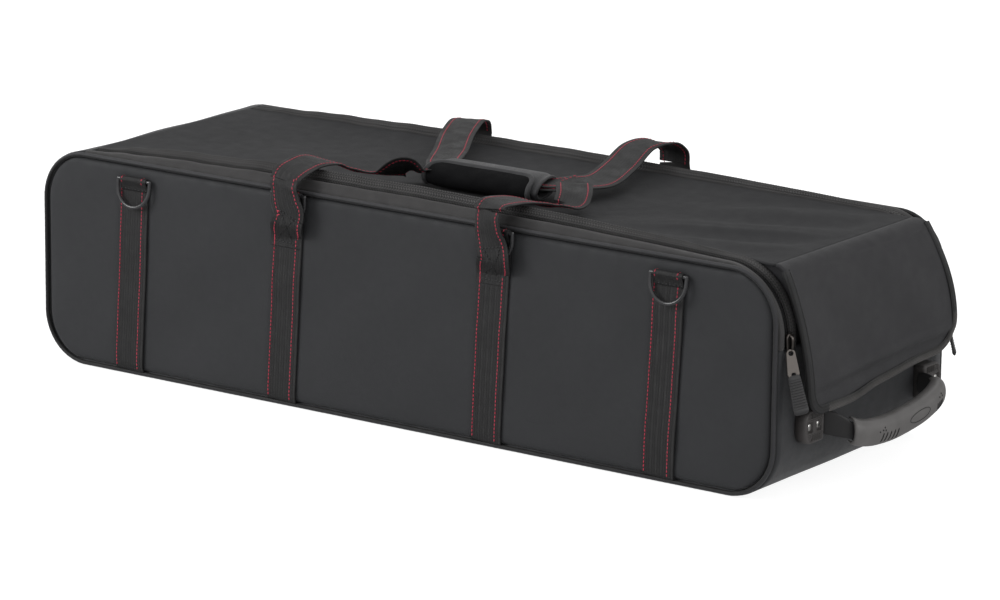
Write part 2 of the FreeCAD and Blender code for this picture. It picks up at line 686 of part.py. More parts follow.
def handle_tail(x, front_or_rear):
    """The handle's end, sewn to the strap and bulging over the D-ring to its fold."""
    fold = pivot(x, front_or_rear)
    half = s.web_thickness / 2
    bulge = half_depth + s.tail_bulge
    clear = half + s.fit_gap
    line = ((strap_face + half, s.stitch_low), (strap_face + half, s.stitch_high),
            (bulge, s.stitch_high + s.tail_rise), (bulge, s.handle_ring_height),
            (half_depth + s.pivot_stand, fold.z - clear))
    inner = [V(x - s.web_width / 2, front_or_rear * (across - half), z) for across, z in line]
    outer = [V(x - s.web_width / 2, front_or_rear * (across + half), z) for across, z in line]
    return prism(inner + outer[::-1], ALONG * s.web_width)


def ribbon(points):
    """Webbing of constant width along a route, its width level and square to the route."""
    sections = []
    for index, point in enumerate(points):
        before, after = points[max(index - 1, 0)], points[min(index + 1, len(points) - 1)]
        way = (after - before).normalize()
        flat = V(-way.y, way.x, 0).normalize()
        normal = way.cross(flat).normalize()
        half_w, half_t = flat * (s.web_width / 2), normal * (s.web_thickness / 2)
        corners = [point - half_w - half_t, point + half_w - half_t, point + half_w + half_t,
                   point - half_w + half_t]
        sections.append(Part.makePolygon(corners + [corners[0]]))
    return loft(sections)


def leg_route(x, grip_end, front_or_rear, shares, height):
    start = pivot(x, front_or_rear)
    goal = V(grip_end, s.grip_place_y, height)
    return [V(start.x + along * (goal.x - start.x), start.y + across * (goal.y - start.y),
              start.z + across * (goal.z - start.z) + hump * s.handle_lift)
            for along, across, hump in shares]


def handle_loop(label, front_or_rear, height):
    reach = s.grip_length / 2 + s.grip_mouth
    grip_ends = (s.grip_place_x - reach, s.grip_place_x + reach)
    left = leg_route(s.left_handle_place, grip_ends[0], front_or_rear, LEFT_LEG_SHARES, height)
    right = leg_route(s.right_handle_place, grip_ends[1], front_or_rear, RIGHT_LEG_SHARES, height)
    middle = [V(x, s.grip_place_y, height) for x in grip_ends]
    web = ribbon(left + middle + right[::-1])
    rolls = [rod(pivot(x, front_or_rear) - ALONG * (s.web_width / 2), ALONG,
                 s.web_thickness / 2, s.web_width)
             for x in (s.left_handle_place, s.right_handle_place)]
    return formed(label, web.fuse(rolls))


def handles(name, front_or_rear):
    tails = [handle_tail(x, front_or_rear) for x in (s.left_handle_place, s.right_handle_place)]
    formed(name + "_handle_tails", Part.makeCompound(tails))
    handle_loop(name + "_handle", front_or_rear, s.grip_height + front_or_rear * s.web_stack)


def grip_wrap():
    def sleeve(inset):
        size = (s.grip_length, s.grip_width - 2 * inset, s.grip_thickness - 2 * inset)
        corner = V(s.grip_place_x - size[0] / 2, s.grip_place_y - size[1] / 2,
                   s.grip_height - size[2] / 2)
        blank = Part.makeBox(*size, corner)
        edges = [edge for edge in blank.Edges if edge.BoundBox.XLength > s.grip_wall]
        return blank.makeFillet(s.grip_round - inset, edges)
    return formed("grip_wrap", sleeve(0).cut(sleeve(s.grip_wall)))


handles("front", FRONT)
handles("rear", REAR)
grip_wrap()

# Haul handle: two brackets riveted to the end, a strap that turns in them, a moulded grip
haul_axis = V(half_length + s.haul_stand, 0, s.haul_height)
strap_ends = (bracket_places[0] + s.bracket_length / 2, bracket_places[1] - s.bracket_length / 2)


def haul_bracket(label, place, inward):
    """A moulded bracket with a blind round socket on its inner side."""
    half_wide, half_high = s.bracket_length / 2, s.bracket_height / 2
    blank = block((half_length, half_length + s.bracket_depth),
                  (place - half_wide, place + half_wide),
                  (s.haul_height - half_high, s.haul_height + half_high))
    outer = [edge for edge in blank.Edges
             if edge.BoundBox.XMin > half_length or edge.BoundBox.XLength > s.seam_lap]
    body = blank.makeFillet(s.bracket_round, outer)
    mouth = haul_axis + ACROSS * (place + inward * half_wide)
    depth = s.trunnion_depth + s.fit_gap
    socket = rod(mouth, ACROSS * -inward, s.trunnion_radius + s.running_gap, depth)
    return formed(label, body.cut([socket] + haul_rivet_holes(0, s.bracket_depth)))


def haul_rivets():
    """Rivets through bracket, wall and board, a head at each end."""
    inside = wall + s.board_thickness
    pieces = []
    for place in bracket_places:
        for point in haul_rivet_places(place):
            start = point - ALONG * inside
            shank = rod(start, ALONG, s.rivet_radius, inside + s.bracket_depth)
            back = rod(start - ALONG * s.rivet_head, ALONG, s.rivet_head_radius, s.rivet_head)
            front = rod(point + ALONG * s.bracket_depth, ALONG, s.rivet_head_radius, s.rivet_head)
            pieces.append(shank.fuse([back, front]).removeSplitter())
    return formed("haul_rivets", Part.makeCompound(pieces))


def bow_sections(shares, width, end_width, thickness, first, last):
    """Sections of the haul strap, square to its bow, level and narrow at its brackets."""
    points = [V(haul_axis.x + s.haul_reach * out, first + share * (last - first),
                haul_axis.z - s.haul_sag * out) for share, out in shares]
    sections = []
    for index, point in enumerate(points):
        before, after = points[max(index - 1, 0)], points[min(index + 1, len(points) - 1)]
        way = V(after.x - before.x, after.y - before.y, 0).normalize()
        high = width
        if not shares[index][1]:
            way = ACROSS
            high = end_width
        outward = way.cross(UP).normalize()
        half_w, half_t = UP * (high / 2), outward * (thickness / 2)
        corners = [point - half_w - half_t, point + half_w - half_t, point + half_w + half_t,
                   point - half_w + half_t]
        sections.append(Part.makePolygon(corners + [corners[0]]))
    return sections


def haul_handle():
    gap = s.fit_gap
    first, last = strap_ends[0] + gap, strap_ends[1] - gap
    web = loft(bow_sections(BOW_SHARES, s.haul_web_width, s.haul_web_end, s.haul_web_thickness,
                            first, last))
    ends = [rod(haul_axis + ACROSS * (first - s.trunnion_depth), ACROSS, s.trunnion_radius,
                s.trunnion_depth + gap),
            rod(haul_axis + ACROSS * (last - gap), ACROSS, s.trunnion_radius,
                s.trunnion_depth + gap)]
    strap = web.fuse(ends)
    grip = loft(bow_sections(GRIP_SHARES, s.haul_grip_width, s.haul_grip_width,
                             s.haul_grip_thickness, first, last))
    grip = grip.cut(strap)
    formed("haul_strap", strap)
    formed("haul_grip", grip)


haul_bracket("front_haul_bracket", bracket_places[0], 1)
haul_bracket("rear_haul_bracket", bracket_places[1], -1)
haul_rivets()
haul_handle()

# Wheels: set in the hinge end's lower corners, each in a moulded housing
axle_place = V(s.wheel_radius - s.wheel_overhang - half_length, 0,
               s.wheel_radius + s.wheel_clear)


def wheel_housing(label, place):
    outer = wheel_block(place)
    well_radius = s.wheel_radius + s.wheel_gap
    centre = axle_place + ACROSS * (place - cheek)
    well = rod(centre, ACROSS, well_radius, 2 * cheek)
    out = (centre.x - s.case_depth, centre.x)
    mouth = block(out, (place - cheek, place + cheek), (-well_radius, centre.z + well_radius))
    under = block((out[0], centre.x + well_radius), (place - cheek, place + cheek),
                  (-well_radius, centre.z))
    half = cheek + s.housing_wall + s.flange_side
    flange = block((-half_length - s.housing_wall, -half_length), (place - half, place + half),
                   (housing_top(), housing_top() + s.flange_height))
    lip = block((-half_length - s.housing_wall, -half_length),
                (place - cheek - s.housing_wall, place + cheek + s.housing_wall),
                (housing_top() - s.housing_wall, housing_top()))
    holes = rivet_holes(flange_rivet_places(place), 0, s.housing_wall)
    bore = rod(axle_place + ACROSS * (place - cheek - s.housing_wall), ACROSS, s.axle_radius,
               2 * (cheek + s.housing_wall))
    shape = outer.fuse([flange, lip]).cut([well, mouth, under, bore] + holes)
    return formed(label, shape.removeSplitter())


def housing_rivets():
    pieces = []
    for place in wheel_places:
        for point in flange_rivet_places(place):
            shank = rod(point, ALONG, s.rivet_radius, s.housing_wall + wall)
            head = rod(point - ALONG * s.rivet_head, ALONG, s.rivet_head_radius, s.rivet_head)
            back = rod(point + ALONG * (s.housing_wall + wall), ALONG, s.rivet_head_radius,
                       s.rivet_head)
            pieces.append(shank.fuse([head, back]).removeSplitter())
    return formed("housing_rivets", Part.makeCompound(pieces))


def wheel_axles():
    half = cheek + s.housing_wall
    pieces = [rod(axle_place + ACROSS * (place - half), ACROSS, s.axle_radius, 2 * half)
              for place in wheel_places]
    return formed("wheel_axles", Part.makeCompound(pieces))


def wheel(name, place):
    """Tyre on a moulded hub that turns on two plain bushes."""
    half = s.wheel_width / 2
    start = axle_place + ACROSS * (place - half)
    hub_radius = s.wheel_radius - s.tyre_thickness
    bush_radius = s.axle_radius + s.bush_wall
    blank = rod(start, ACROSS, s.wheel_radius, s.wheel_width)
    rims = [edge for edge in blank.Edges if edge.BoundBox.YLength < s.seam_lap]
    tyre = blank.makeFillet(s.tyre_thickness / 2, rims)
    formed(name + "_tyre", tyre.cut(rod(start, ACROSS, hub_radius, s.wheel_width)))
    hub = rod(start, ACROSS, hub_radius, s.wheel_width)
    dish = s.tyre_thickness / 2
    ring = rod(start, ACROSS, hub_radius - s.bush_wall, dish)
    core = rod(start, ACROSS, bush_radius + s.bush_wall, dish)
    dishes = [ring.cut(core)]
    dishes.append(dishes[0].translated(ACROSS * (s.wheel_width - dish)))
    hub = hub.cut(dishes + [rod(start, ACROSS, bush_radius, s.wheel_width)])
    formed(name + "_hub", hub)
    bushes = []
    for y in (0, s.wheel_width - s.bush_length):
        end = start + ACROSS * y
        bushes.append(rod(end, ACROSS, bush_radius, s.bush_length).cut(
            rod(end, ACROSS, s.axle_radius + s.running_gap, s.bush_length)))
    formed(name + "_bushes", Part.makeCompound(bushes))


wheel_housing("front_wheel_housing", wheel_places[0])
wheel_housing("rear_wheel_housing", wheel_places[1])
housing_rivets()
wheel_axles()
wheel("front_wheel", wheel_places[0])
wheel("rear_wheel", wheel_places[1])


# Zip sliders, parked at the haul end, each with a metal puller and a moulded tab
puller_bore = s.puller_pin + s.running_gap
puller_eye = puller_bore + s.puller_eye_wall


def slider_pivot(front_or_rear):
    out = s.binding_lip + s.slider_gap + s.slider_plate + puller_eye + s.fit_gap
    return V(half_length + out, front_or_rear * closure, zip_centre.z)


def slider(name, front_or_rear):
    middle = front_or_rear * closure
    half_wide, half_long = s.slider_width / 2, s.slider_length / 2
    reach_z = (zip_centre.z - half_long, zip_centre.z + half_long)
    face = half_length + s.binding_lip + s.slider_gap
    tape_low = half_length - s.rim_thickness - s.tape_thickness
    upper = block((face, face + s.slider_plate), (middle - half_wide, middle + half_wide), reach_z)
    lower = block((tape_low - s.slider_gap - s.slider_plate, tape_low - s.slider_gap),
                  (middle - half_wide, middle + half_wide), reach_z)
    neck = block((tape_low - s.slider_gap, face),
                 (middle - s.slider_neck / 2, middle + s.slider_neck / 2),
                 (zip_centre.z - s.slider_neck, zip_centre.z + s.slider_neck))
    pin = slider_pivot(front_or_rear)
    ears = []
    ear = s.slider_neck
    for edge in (-half_wide, half_wide - ear):
        ears.append(block((face + s.slider_plate, pin.x + s.puller_pin),
                          (middle + edge, middle + edge + ear),
                          (pin.z - s.puller_pin, pin.z + s.puller_pin)))
    bar = rod(pin - ACROSS * half_wide, ACROSS, s.puller_pin, s.slider_width)
    formed(name + "_zip_slider", upper.fuse([lower, neck, bar] + ears).removeSplitter())


def puller(name, front_or_rear):
    """A flat metal puller hanging from the slider's bar, with a moulded tab below."""
    pin = slider_pivot(front_or_rear)
    half_eye = s.slider_width / 2 - s.slider_neck - s.fit_gap
    eye = rod(pin - ACROSS * half_eye, ACROSS, puller_eye, 2 * half_eye)
    low = pin.z - s.puller_length
    leaf = block((pin.x - s.puller_thickness / 2, pin.x + s.puller_thickness / 2),
                 (pin.y - s.puller_width / 2, pin.y + s.puller_width / 2), (low, pin.z))
    hole = rod(pin - ACROSS * s.puller_width, ACROSS, puller_bore, 2 * s.puller_width)
    formed(name + "_zip_puller", eye.fuse(leaf).cut(hole).removeSplitter())
    grip = block((pin.x - s.pull_tab_thickness / 2, pin.x + s.pull_tab_thickness / 2),
                 (pin.y - s.pull_tab_width / 2, pin.y + s.pull_tab_width / 2),
                 (low - s.pull_tab_length, low + s.puller_width))
    grip = grip.makeFillet(s.pull_tab_round, grip.Edges)
    formed(name + "_pull_tab", grip.cut(leaf))


for side_name, direction in (("front", FRONT), ("rear", REAR)):
    slider(side_name, direction)
    puller(side_name, direction)

doc.recompute()


# Check every object and shape, then write one file per sub-part
def check():
    for feature in doc.Objects:
        if "Invalid" in feature.State or "Error" in feature.State:
            raise RuntimeError("failed: %s %s" % (feature.Label, feature.State))
    for node in nodes:
        if node.Shape.isNull() or not node.Shape.isValid() or not node.Shape.Solids:
            raise RuntimeError("bad shape: " + node.Label)


check()
os.makedirs("parts", exist_ok=True)
for node in nodes:
    node.Shape.exportStep("parts/%s.step" % node.Label)
print("%d sub-parts" % len(nodes))
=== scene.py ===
import math
import bmesh
import bpy
import numpy as np
from mathutils import Matrix, Vector


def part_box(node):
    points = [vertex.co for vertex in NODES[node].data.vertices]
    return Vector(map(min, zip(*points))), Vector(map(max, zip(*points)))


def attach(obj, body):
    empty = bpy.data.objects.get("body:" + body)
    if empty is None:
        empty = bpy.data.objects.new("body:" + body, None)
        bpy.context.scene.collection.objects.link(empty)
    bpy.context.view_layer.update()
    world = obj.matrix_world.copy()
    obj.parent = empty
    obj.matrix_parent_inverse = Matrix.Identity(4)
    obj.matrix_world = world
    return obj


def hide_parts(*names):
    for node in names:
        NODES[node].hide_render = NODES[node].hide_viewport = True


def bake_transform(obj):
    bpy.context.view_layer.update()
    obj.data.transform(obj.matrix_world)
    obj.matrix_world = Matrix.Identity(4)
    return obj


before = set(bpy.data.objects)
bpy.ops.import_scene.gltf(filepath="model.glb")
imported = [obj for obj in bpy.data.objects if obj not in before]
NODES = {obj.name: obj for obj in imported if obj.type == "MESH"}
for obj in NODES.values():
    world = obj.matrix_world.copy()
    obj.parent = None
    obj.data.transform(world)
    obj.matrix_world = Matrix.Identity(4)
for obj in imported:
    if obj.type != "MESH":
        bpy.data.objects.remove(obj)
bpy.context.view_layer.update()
scene = bpy.context.scene

# Studio: a pale floor and soft lamps round the case, seen from a little above its front
# and its haul end through a long lens.
CAMERA_AZIMUTH, CAMERA_ELEVATION, CAMERA_ROLL = map(math.radians, (35.539, 14.075, 0.557))
CAMERA_DISTANCE = 5.5489
CAMERA_AIM = Vector((0, 0, 0.127))
CAMERA_SHIFT_RIGHT, CAMERA_SHIFT_UP = 0.01902, -0.01888
CAMERA_LENS, CAMERA_SENSOR = 184.43, 36.0
FLOOR_DROP = 0.0005
FLOOR_HALF = 30.0
PALE = (0.93, 0.93, 0.93, 1.0)

back = Vector((math.sin(CAMERA_AZIMUTH) * math.cos(CAMERA_ELEVATION),
               -math.cos(CAMERA_AZIMUTH) * math.cos(CAMERA_ELEVATION),
               math.sin(CAMERA_ELEVATION)))
right = Vector((math.cos(CAMERA_AZIMUTH), math.sin(CAMERA_AZIMUTH), 0))
up = right.cross(-back)
rolled_right = right * math.cos(CAMERA_ROLL) + up * math.sin(CAMERA_ROLL)
rolled_up = up * math.cos(CAMERA_ROLL) - right * math.sin(CAMERA_ROLL)
scene.view_settings.view_transform = "Standard"


def linked(name, data):
    """A new object of the scene."""
    made = bpy.data.objects.new(name, data)
    scene.collection.objects.link(made)
    return made


camera_data = bpy.data.cameras.new("camera")
camera_data.lens = CAMERA_LENS
camera_data.sensor_width = CAMERA_SENSOR
camera_data.clip_end = FLOOR_HALF * 2
camera = linked("camera", camera_data)
camera.matrix_world = Matrix.Translation(
    CAMERA_AIM + rolled_right * CAMERA_SHIFT_RIGHT + rolled_up * CAMERA_SHIFT_UP
    + back * CAMERA_DISTANCE) @ Matrix((
        (rolled_right.x, rolled_up.x, back.x, 0), (rolled_right.y, rolled_up.y, back.y, 0),
        (rolled_right.z, rolled_up.z, back.z, 0), (0, 0, 0, 1)))
scene.camera = camera


def finish_material(name):
    """A new node material, with its tree, its links and its Principled shader."""
    made = bpy.data.materials.new(name)
    made.use_nodes = True
    return made, made.node_tree, made.node_tree.nodes["Principled BSDF"]


def show_pale(tree, surface, strength):
    """Puts a surface behind Light Path, so that the lens and gloss see plain pale light."""
    path = tree.nodes.new("ShaderNodeLightPath")
    glossy = tree.nodes.new("ShaderNodeMath")
    glossy.operation = "MAXIMUM"
    tree.links.new(path.outputs["Is Glossy Ray"], glossy.inputs[0])
    tree.links.new(path.outputs["Is Transmission Ray"], glossy.inputs[1])
    glow = tree.nodes.new("ShaderNodeEmission")
    glow.inputs["Color"].default_value = PALE
    glow.inputs["Strength"].default_value = strength
    mix = tree.nodes.new("ShaderNodeMixShader")
    tree.links.new(glossy.outputs[0], mix.inputs[0])
    tree.links.new(surface, mix.inputs[1])
    tree.links.new(glow.outputs[0], mix.inputs[2])
    return mix.outputs[0]


floor_mesh = bpy.data.meshes.new("floor")
floor_mesh.from_pydata([(x * FLOOR_HALF, y * FLOOR_HALF, -FLOOR_DROP)
                        for x, y in ((-1, -1), (1, -1), (1, 1), (-1, 1))], [], [(0, 1, 2, 3)])
floor = linked("floor", floor_mesh)
floor_material, tree, shader = finish_material("pale_floor")
shader.inputs["Base Color"].default_value = (0.35, 0.35, 0.35, 1.0)
shader.inputs["Roughness"].default_value = 0.9
shader.inputs["Emission Color"].default_value = (1.0, 1.0, 1.0, 1.0)
shader.inputs["Emission Strength"].default_value = 0.88
output = tree.nodes["Material Output"]
tree.links.new(show_pale(tree, shader.outputs[0], 0.25), output.inputs["Surface"])
floor_mesh.materials.append(floor_material)

world = bpy.data.worlds.new("studio")
world.use_nodes = True
scene.world = world
tree = world.node_tree
background = tree.nodes["Background"]
background.inputs["Color"].default_value = (1, 1, 1, 1)
background.inputs["Strength"].default_value = 0.62
LAMPS = (("left", (-2.2, -2.4, 1.7), 1.6, 55.0), ("top", (0.5, 1.4, 3.8), 3.0, 30.0),
         ("side", (4.0, 0.6, 1.6), 2.0, 30.0))
for name, place, size, power in LAMPS:
    lamp_data = bpy.data.lights.new(name, "AREA")
    lamp_data.size = size
    lamp_data.energy = power
    lamp = linked(name, lamp_data)
    lamp.location = place
    lamp.rotation_mode = "QUATERNION"
    lamp.rotation_quaternion = (Vector(place) - CAMERA_AIM).to_track_quat("Z", "Y")

# Side panels: padded woven polyester, cut as rounded rectangles and sewn into the piping.
# The foam behind the cloth crowns it a little, and the sewn straps and seams pull it in.
PANEL_RADIUS = 0.051
PANEL_TUCK = 0.0048
PANEL_CROWN = 0.0016
PANEL_ROWS, PANEL_COLUMNS = 96, 320
PANEL_CORNER_ROWS = 16
PANEL_THICKNESS = 0.0035
TUCK_REACH, CROWN_REACH = 0.0020, 0.012
PULL_DEPTH, PULL_PLACE, PULL_WIDTH = 0.0009, 0.0155, 0.006
COVER_WIDTH = 0.022
WAVE_DEPTH, WAVE_REACH = 0.0009, 0.03
CLOTH_COLOUR = (0.0198, 0.0206, 0.0229, 1.0)
CLOTH_THREAD = 0.00055
STRAP_TOPS = (-0.348, -0.135, 0.137, 0.354)
STRAP_FEET = (-0.3602, -0.148, 0.124, 0.3418)
SIDES = (("front", -1), ("rear", 1))


def math_node(tree, kind, first, second=None):
    """A Math node on values or on sockets."""
    made = tree.nodes.new("ShaderNodeMath")
    made.operation = kind
    for socket, value in zip(made.inputs, (first, second)):
        if value is None:
            continue
        if isinstance(value, (int, float)):
            socket.default_value = value
        else:
            tree.links.new(value, socket)
    return made.outputs[0]


def new_group(name, values, outputs):
    """A shader group that takes a place and named values, and gives named values."""
    tree = bpy.data.node_groups.new(name, "ShaderNodeTree")
    tree.interface.new_socket(name="Place", in_out="INPUT", socket_type="NodeSocketVector")
    for way, sockets in (("INPUT", values), ("OUTPUT", outputs)):
        for socket in sockets:
            tree.interface.new_socket(name=socket, in_out=way, socket_type="NodeSocketFloat")
    return tree, tree.nodes.new("NodeGroupInput").outputs, tree.nodes.new("NodeGroupOutput").inputs


def ridged(tree, value):
    """Round ridges, one for each whole step of a value."""
    return math_node(tree, "ABSOLUTE", math_node(tree, "SINE", math_node(
        tree, "MULTIPLY", value, math.pi)))


def noise(tree, place, scale, detail=2.0):
    """Noise between 0 and 1 at a place."""
    made = tree.nodes.new("ShaderNodeTexNoise")
    made.inputs["Scale"].default_value = scale
    made.inputs["Detail"].default_value = detail
    tree.links.new(place, made.inputs["Vector"])
    return made.outputs["Fac"]


def plain_weave():
    """Threads over and under each other, with slow drifts of tone and of roughness."""
    tree, given, put = new_group("plain_weave", ("Thread", "Drift"), ("Height", "Tone", "Wear"))
    scaled = tree.nodes.new("ShaderNodeVectorMath")
    scaled.operation = "SCALE"
    tree.links.new(given["Place"], scaled.inputs[0])
    tree.links.new(math_node(tree, "DIVIDE", 1.0, given["Thread"]), scaled.inputs["Scale"])
    split = tree.nodes.new("ShaderNodeSeparateXYZ")
    tree.links.new(scaled.outputs[0], split.inputs[0])
    across, along = split.outputs[0], split.outputs[1]
    count = math_node(tree, "ADD", math_node(tree, "FLOOR", across), math_node(
        tree, "FLOOR", along))
    over = math_node(tree, "PINGPONG", count, 1.0)
    warp = math_node(tree, "MULTIPLY", ridged(tree, across), over)
    weft = math_node(tree, "MULTIPLY", ridged(tree, along), math_node(tree, "SUBTRACT", 1.0, over))
    tree.links.new(math_node(tree, "ADD", warp, weft), put["Height"])
    for scale, detail, socket in ((9.0, 4.0, "Tone"), (60.0, 6.0, "Wear")):
        centred = math_node(tree, "SUBTRACT", noise(tree, given["Place"], scale, detail), 0.5)
        tree.links.new(math_node(tree, "MULTIPLY", centred, given["Drift"]), put[socket])
    return tree


WEAVE = plain_weave()


def metres_of(tree):
    """The piece's own UV map, whose units are metres."""
    place = tree.nodes.new("ShaderNodeUVMap")
    place.uv_map = "metres"
    return place.outputs[0]


def grouped(tree, group, place, **values):
    """A group node at a place, with its values set by name."""
    made = tree.nodes.new("ShaderNodeGroup")
    made.node_tree = group
    for socket, value in values.items():
        made.inputs[socket].default_value = value
    tree.links.new(place, made.inputs["Place"])
    return made.outputs


def toned(tree, shader, colour, dark, light, factor):
    """Base colour between a darker and a lighter share of one colour."""
    mix = tree.nodes.new("ShaderNodeMix")
    mix.data_type = "RGBA"
    for socket, share in (("A", dark), ("B", light)):
        mix.inputs[socket].default_value = [channel * share for channel in colour[:3]] + [1.0]
    tree.links.new(factor, mix.inputs["Factor"])
    tree.links.new(mix.outputs["Result"], shader.inputs["Base Color"])


def bumped(tree, shader, height, strength, depth):
    """Fine relief of a depth in metres."""
    bump = tree.nodes.new("ShaderNodeBump")
    bump.inputs["Strength"].default_value = strength
    bump.inputs["Distance"].default_value = depth
    tree.links.new(height, bump.inputs["Height"])
    tree.links.new(bump.outputs[0], shader.inputs["Normal"])


def cloth_material(name, colour, thread, roughness, depth, sheen, drift=0.5, gloss=0.35):
    """Woven cloth on the piece's own UV map."""
    made, tree, shader = finish_material(name)
    weave = grouped(tree, WEAVE, metres_of(tree), Thread=thread, Drift=drift)
    tone = math_node(tree, "ADD", math_node(tree, "MULTIPLY", weave["Height"], 0.45), 0.35)
    toned(tree, shader, colour, 0.62, 1.30, math_node(tree, "ADD", tone, weave["Tone"]))
    tree.links.new(math_node(tree, "ADD", weave["Wear"], roughness), shader.inputs["Roughness"])
    bumped(tree, shader, weave["Height"], 0.7, depth)
    shader.inputs["Sheen Weight"].default_value = sheen
    shader.inputs["Sheen Roughness"].default_value = 0.45
    shader.inputs["Specular IOR Level"].default_value = gloss
    return made


CLOTH = cloth_material("charcoal_polyester", CLOTH_COLOUR, CLOTH_THREAD, 0.62, 0.00008, 0.12)


def surface(name, points, metres, material, closed=False, flipped=False):
    """A grid of points as one mesh with a UV map in metres."""
    points, metres = np.asarray(points, float), np.asarray(metres, float)
    if flipped:
        points, metres = points[:, ::-1], metres[:, ::-1]
    rows, columns = points.shape[:2]
    faces, corners = [], []
    for row in range(rows - 1):
        for column in range(columns if closed else columns - 1):
            after = (column + 1) % columns
            faces.append((row * columns + column, row * columns + after,
                          (row + 1) * columns + after, (row + 1) * columns + column))
            corners += [metres[row, column], metres[row, column + 1],
                        metres[row + 1, column + 1], metres[row + 1, column]]
    mesh = bpy.data.meshes.new(name)
    mesh.from_pydata(points.reshape(-1, 3).tolist(), [], faces)
    mesh.uv_layers.new(name="metres").data.foreach_set("uv", np.ravel(corners))
    mesh.shade_smooth()
    mesh.materials.append(material)
    return linked(name, mesh)


def thicken(made, name, thickness, offset=-1):
    """Gives a sheet its thickness, behind its outer face."""
    solid = made.modifiers.new(name, "SOLIDIFY")
    solid.thickness = thickness
    solid.offset = offset


def strap_centre(index, height, low, high):
    """Where a leaning strap's middle lies at a height."""
    share = (height - low) / (high - low)
    return STRAP_FEET[index] + (STRAP_TOPS[index] - STRAP_FEET[index]) * share


def panel_out(x, height, low, high, reach):
    """How far a side panel's cloth stands out of its flat face: crown, folds and pulls."""
    edge = max(min(reach - abs(x), height - low.z, high.z - height), 0.0)
    swell = PANEL_CROWN * (1 - math.exp(-edge / CROWN_REACH))
    tuck = -PANEL_TUCK * math.exp(-edge / TUCK_REACH)
    pull, cover = 0.0, 0.0
    for index in range(len(STRAP_TOPS)):
        middle = x - strap_centre(index, height, low.z, high.z)
        pull += math.exp(-((abs(middle) - PULL_PLACE) / PULL_WIDTH) ** 2)
        cover += math.exp(-(middle / COVER_WIDTH) ** 4)
    ease = math.sin(21 * x + 2.1) * math.sin(17 * height + 9 * x + 0.6)
    ease += 0.6 * math.sin(47 * x - 23 * height + 1.3) * math.sin(31 * height + 0.4)
    wave = WAVE_DEPTH * ease * (1 - math.exp(-edge / WAVE_REACH)) * (1 - 0.7 * cover)
    return swell + tuck + wave - PULL_DEPTH * pull * (1 - math.exp(-edge / 0.01))


def side_panel(name, outward):
    """One rounded panel, its rows closer together where its corners turn."""
    low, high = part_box(name)
    face = low.y if outward < 0 else high.y
    turn = np.linspace(0, math.pi / 2, PANEL_CORNER_ROWS)
    foot, head = low.z + PANEL_RADIUS, high.z - PANEL_RADIUS
    heights = np.concatenate((
        foot - PANEL_RADIUS * np.cos(turn),
        np.linspace(foot, head, PANEL_ROWS - 2 * PANEL_CORNER_ROWS)[1:-1],
        head + PANEL_RADIUS * np.sin(turn)))
    points, metres = [], []
    for height in heights:
        over = max(foot - height, height - head, 0.0)
        reach = high.x - PANEL_RADIUS + math.sqrt(max(PANEL_RADIUS ** 2 - over ** 2, 0.0))
        places = [share * reach for share in np.linspace(-1, 1, PANEL_COLUMNS)]
        points.append([(x, face + outward * panel_out(x, height, low, high, reach), height)
                       for x in places])
        metres.append([(x, height) for x in places])
    made = surface(name + "_cloth", points, metres, CLOTH, flipped=outward > 0)
    thicken(made, "padding", PANEL_THICKNESS)
    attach(made, "bag")
    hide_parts(name)


for side_name, outward in SIDES:
    side_panel(side_name + "_panel", outward)

# Piping: a cord sewn into a folded strip of the same cloth, all round each side panel.
# Its strip puckers a little at the needle holes.
PIPE_RADIUS = 0.003
CORD_SHARE = 0.84
PIPE_CORNER = 0.057
PIPE_RING = 14
PIPE_STEP = 0.002
PIPING = cloth_material("piping_cloth", (0.026, 0.026, 0.029, 1.0), 0.0005, 0.55, 0.00006, 0.1)


def outline_path(half_length, low, high, radius, pitch):
    """Points and outward directions round a rounded rectangle in the XZ plane."""
    places, outs = [], []
    straight = half_length - radius
    runs = (((-straight, high), (straight, high), math.pi / 2),
            ((half_length, high - radius), (half_length, low + radius), 0.0),
            ((straight, low), (-straight, low), -math.pi / 2),
            ((-half_length, low + radius), (-half_length, high - radius), math.pi))
    for start, end, angle in runs:
        long = math.dist(start, end)
        steps = max(2, round(long / pitch))
        out = (math.cos(angle), math.sin(angle))
        for step in range(steps):
            share = step / steps
            places.append((start[0] + (end[0] - start[0]) * share,
                           start[1] + (end[1] - start[1]) * share))
            outs.append(out)
        centre = (end[0] - out[0] * radius, end[1] - out[1] * radius)
        steps = max(4, round(radius * math.pi / 2 / pitch))
        for step in range(steps):
            bend = angle - math.pi / 2 * step / steps
            out = (math.cos(bend), math.sin(bend))
            places.append((centre[0] + out[0] * radius, centre[1] + out[1] * radius))
            outs.append(out)
    return places, outs


def painted_groove_shade(made):
    """Paints shade into a cord's cloth towards the seams on both its sides, for the dark grooves
    beside it.
    """
    tree = made.node_tree
    shader = tree.nodes["Principled BSDF"]
    cloth = shader.inputs["Base Color"].links[0].from_socket
    split = tree.nodes.new("ShaderNodeSeparateXYZ")
    tree.links.new(metres_of(tree), split.inputs[0])
    crown = math_node(tree, "SINE", math_node(tree, "MULTIPLY", split.outputs[0],
                                              0.5 / PIPE_RADIUS))
    seam = tree.nodes.new("ShaderNodeMix")
    seam.data_type = "RGBA"
    seam.inputs["A"].default_value = (0.002, 0.002, 0.002, 1.0)
    tree.links.new(math_node(tree, "POWER", crown, 7.0), seam.inputs["Factor"])
    tree.links.new(cloth, seam.inputs["B"])
    tree.links.new(seam.outputs["Result"], shader.inputs["Base Color"])


# Painted shade: the piping's cloth is darkened towards both its seams, standing in for the shade in
# the grooves beside the cord.
painted_groove_shade(PIPING)


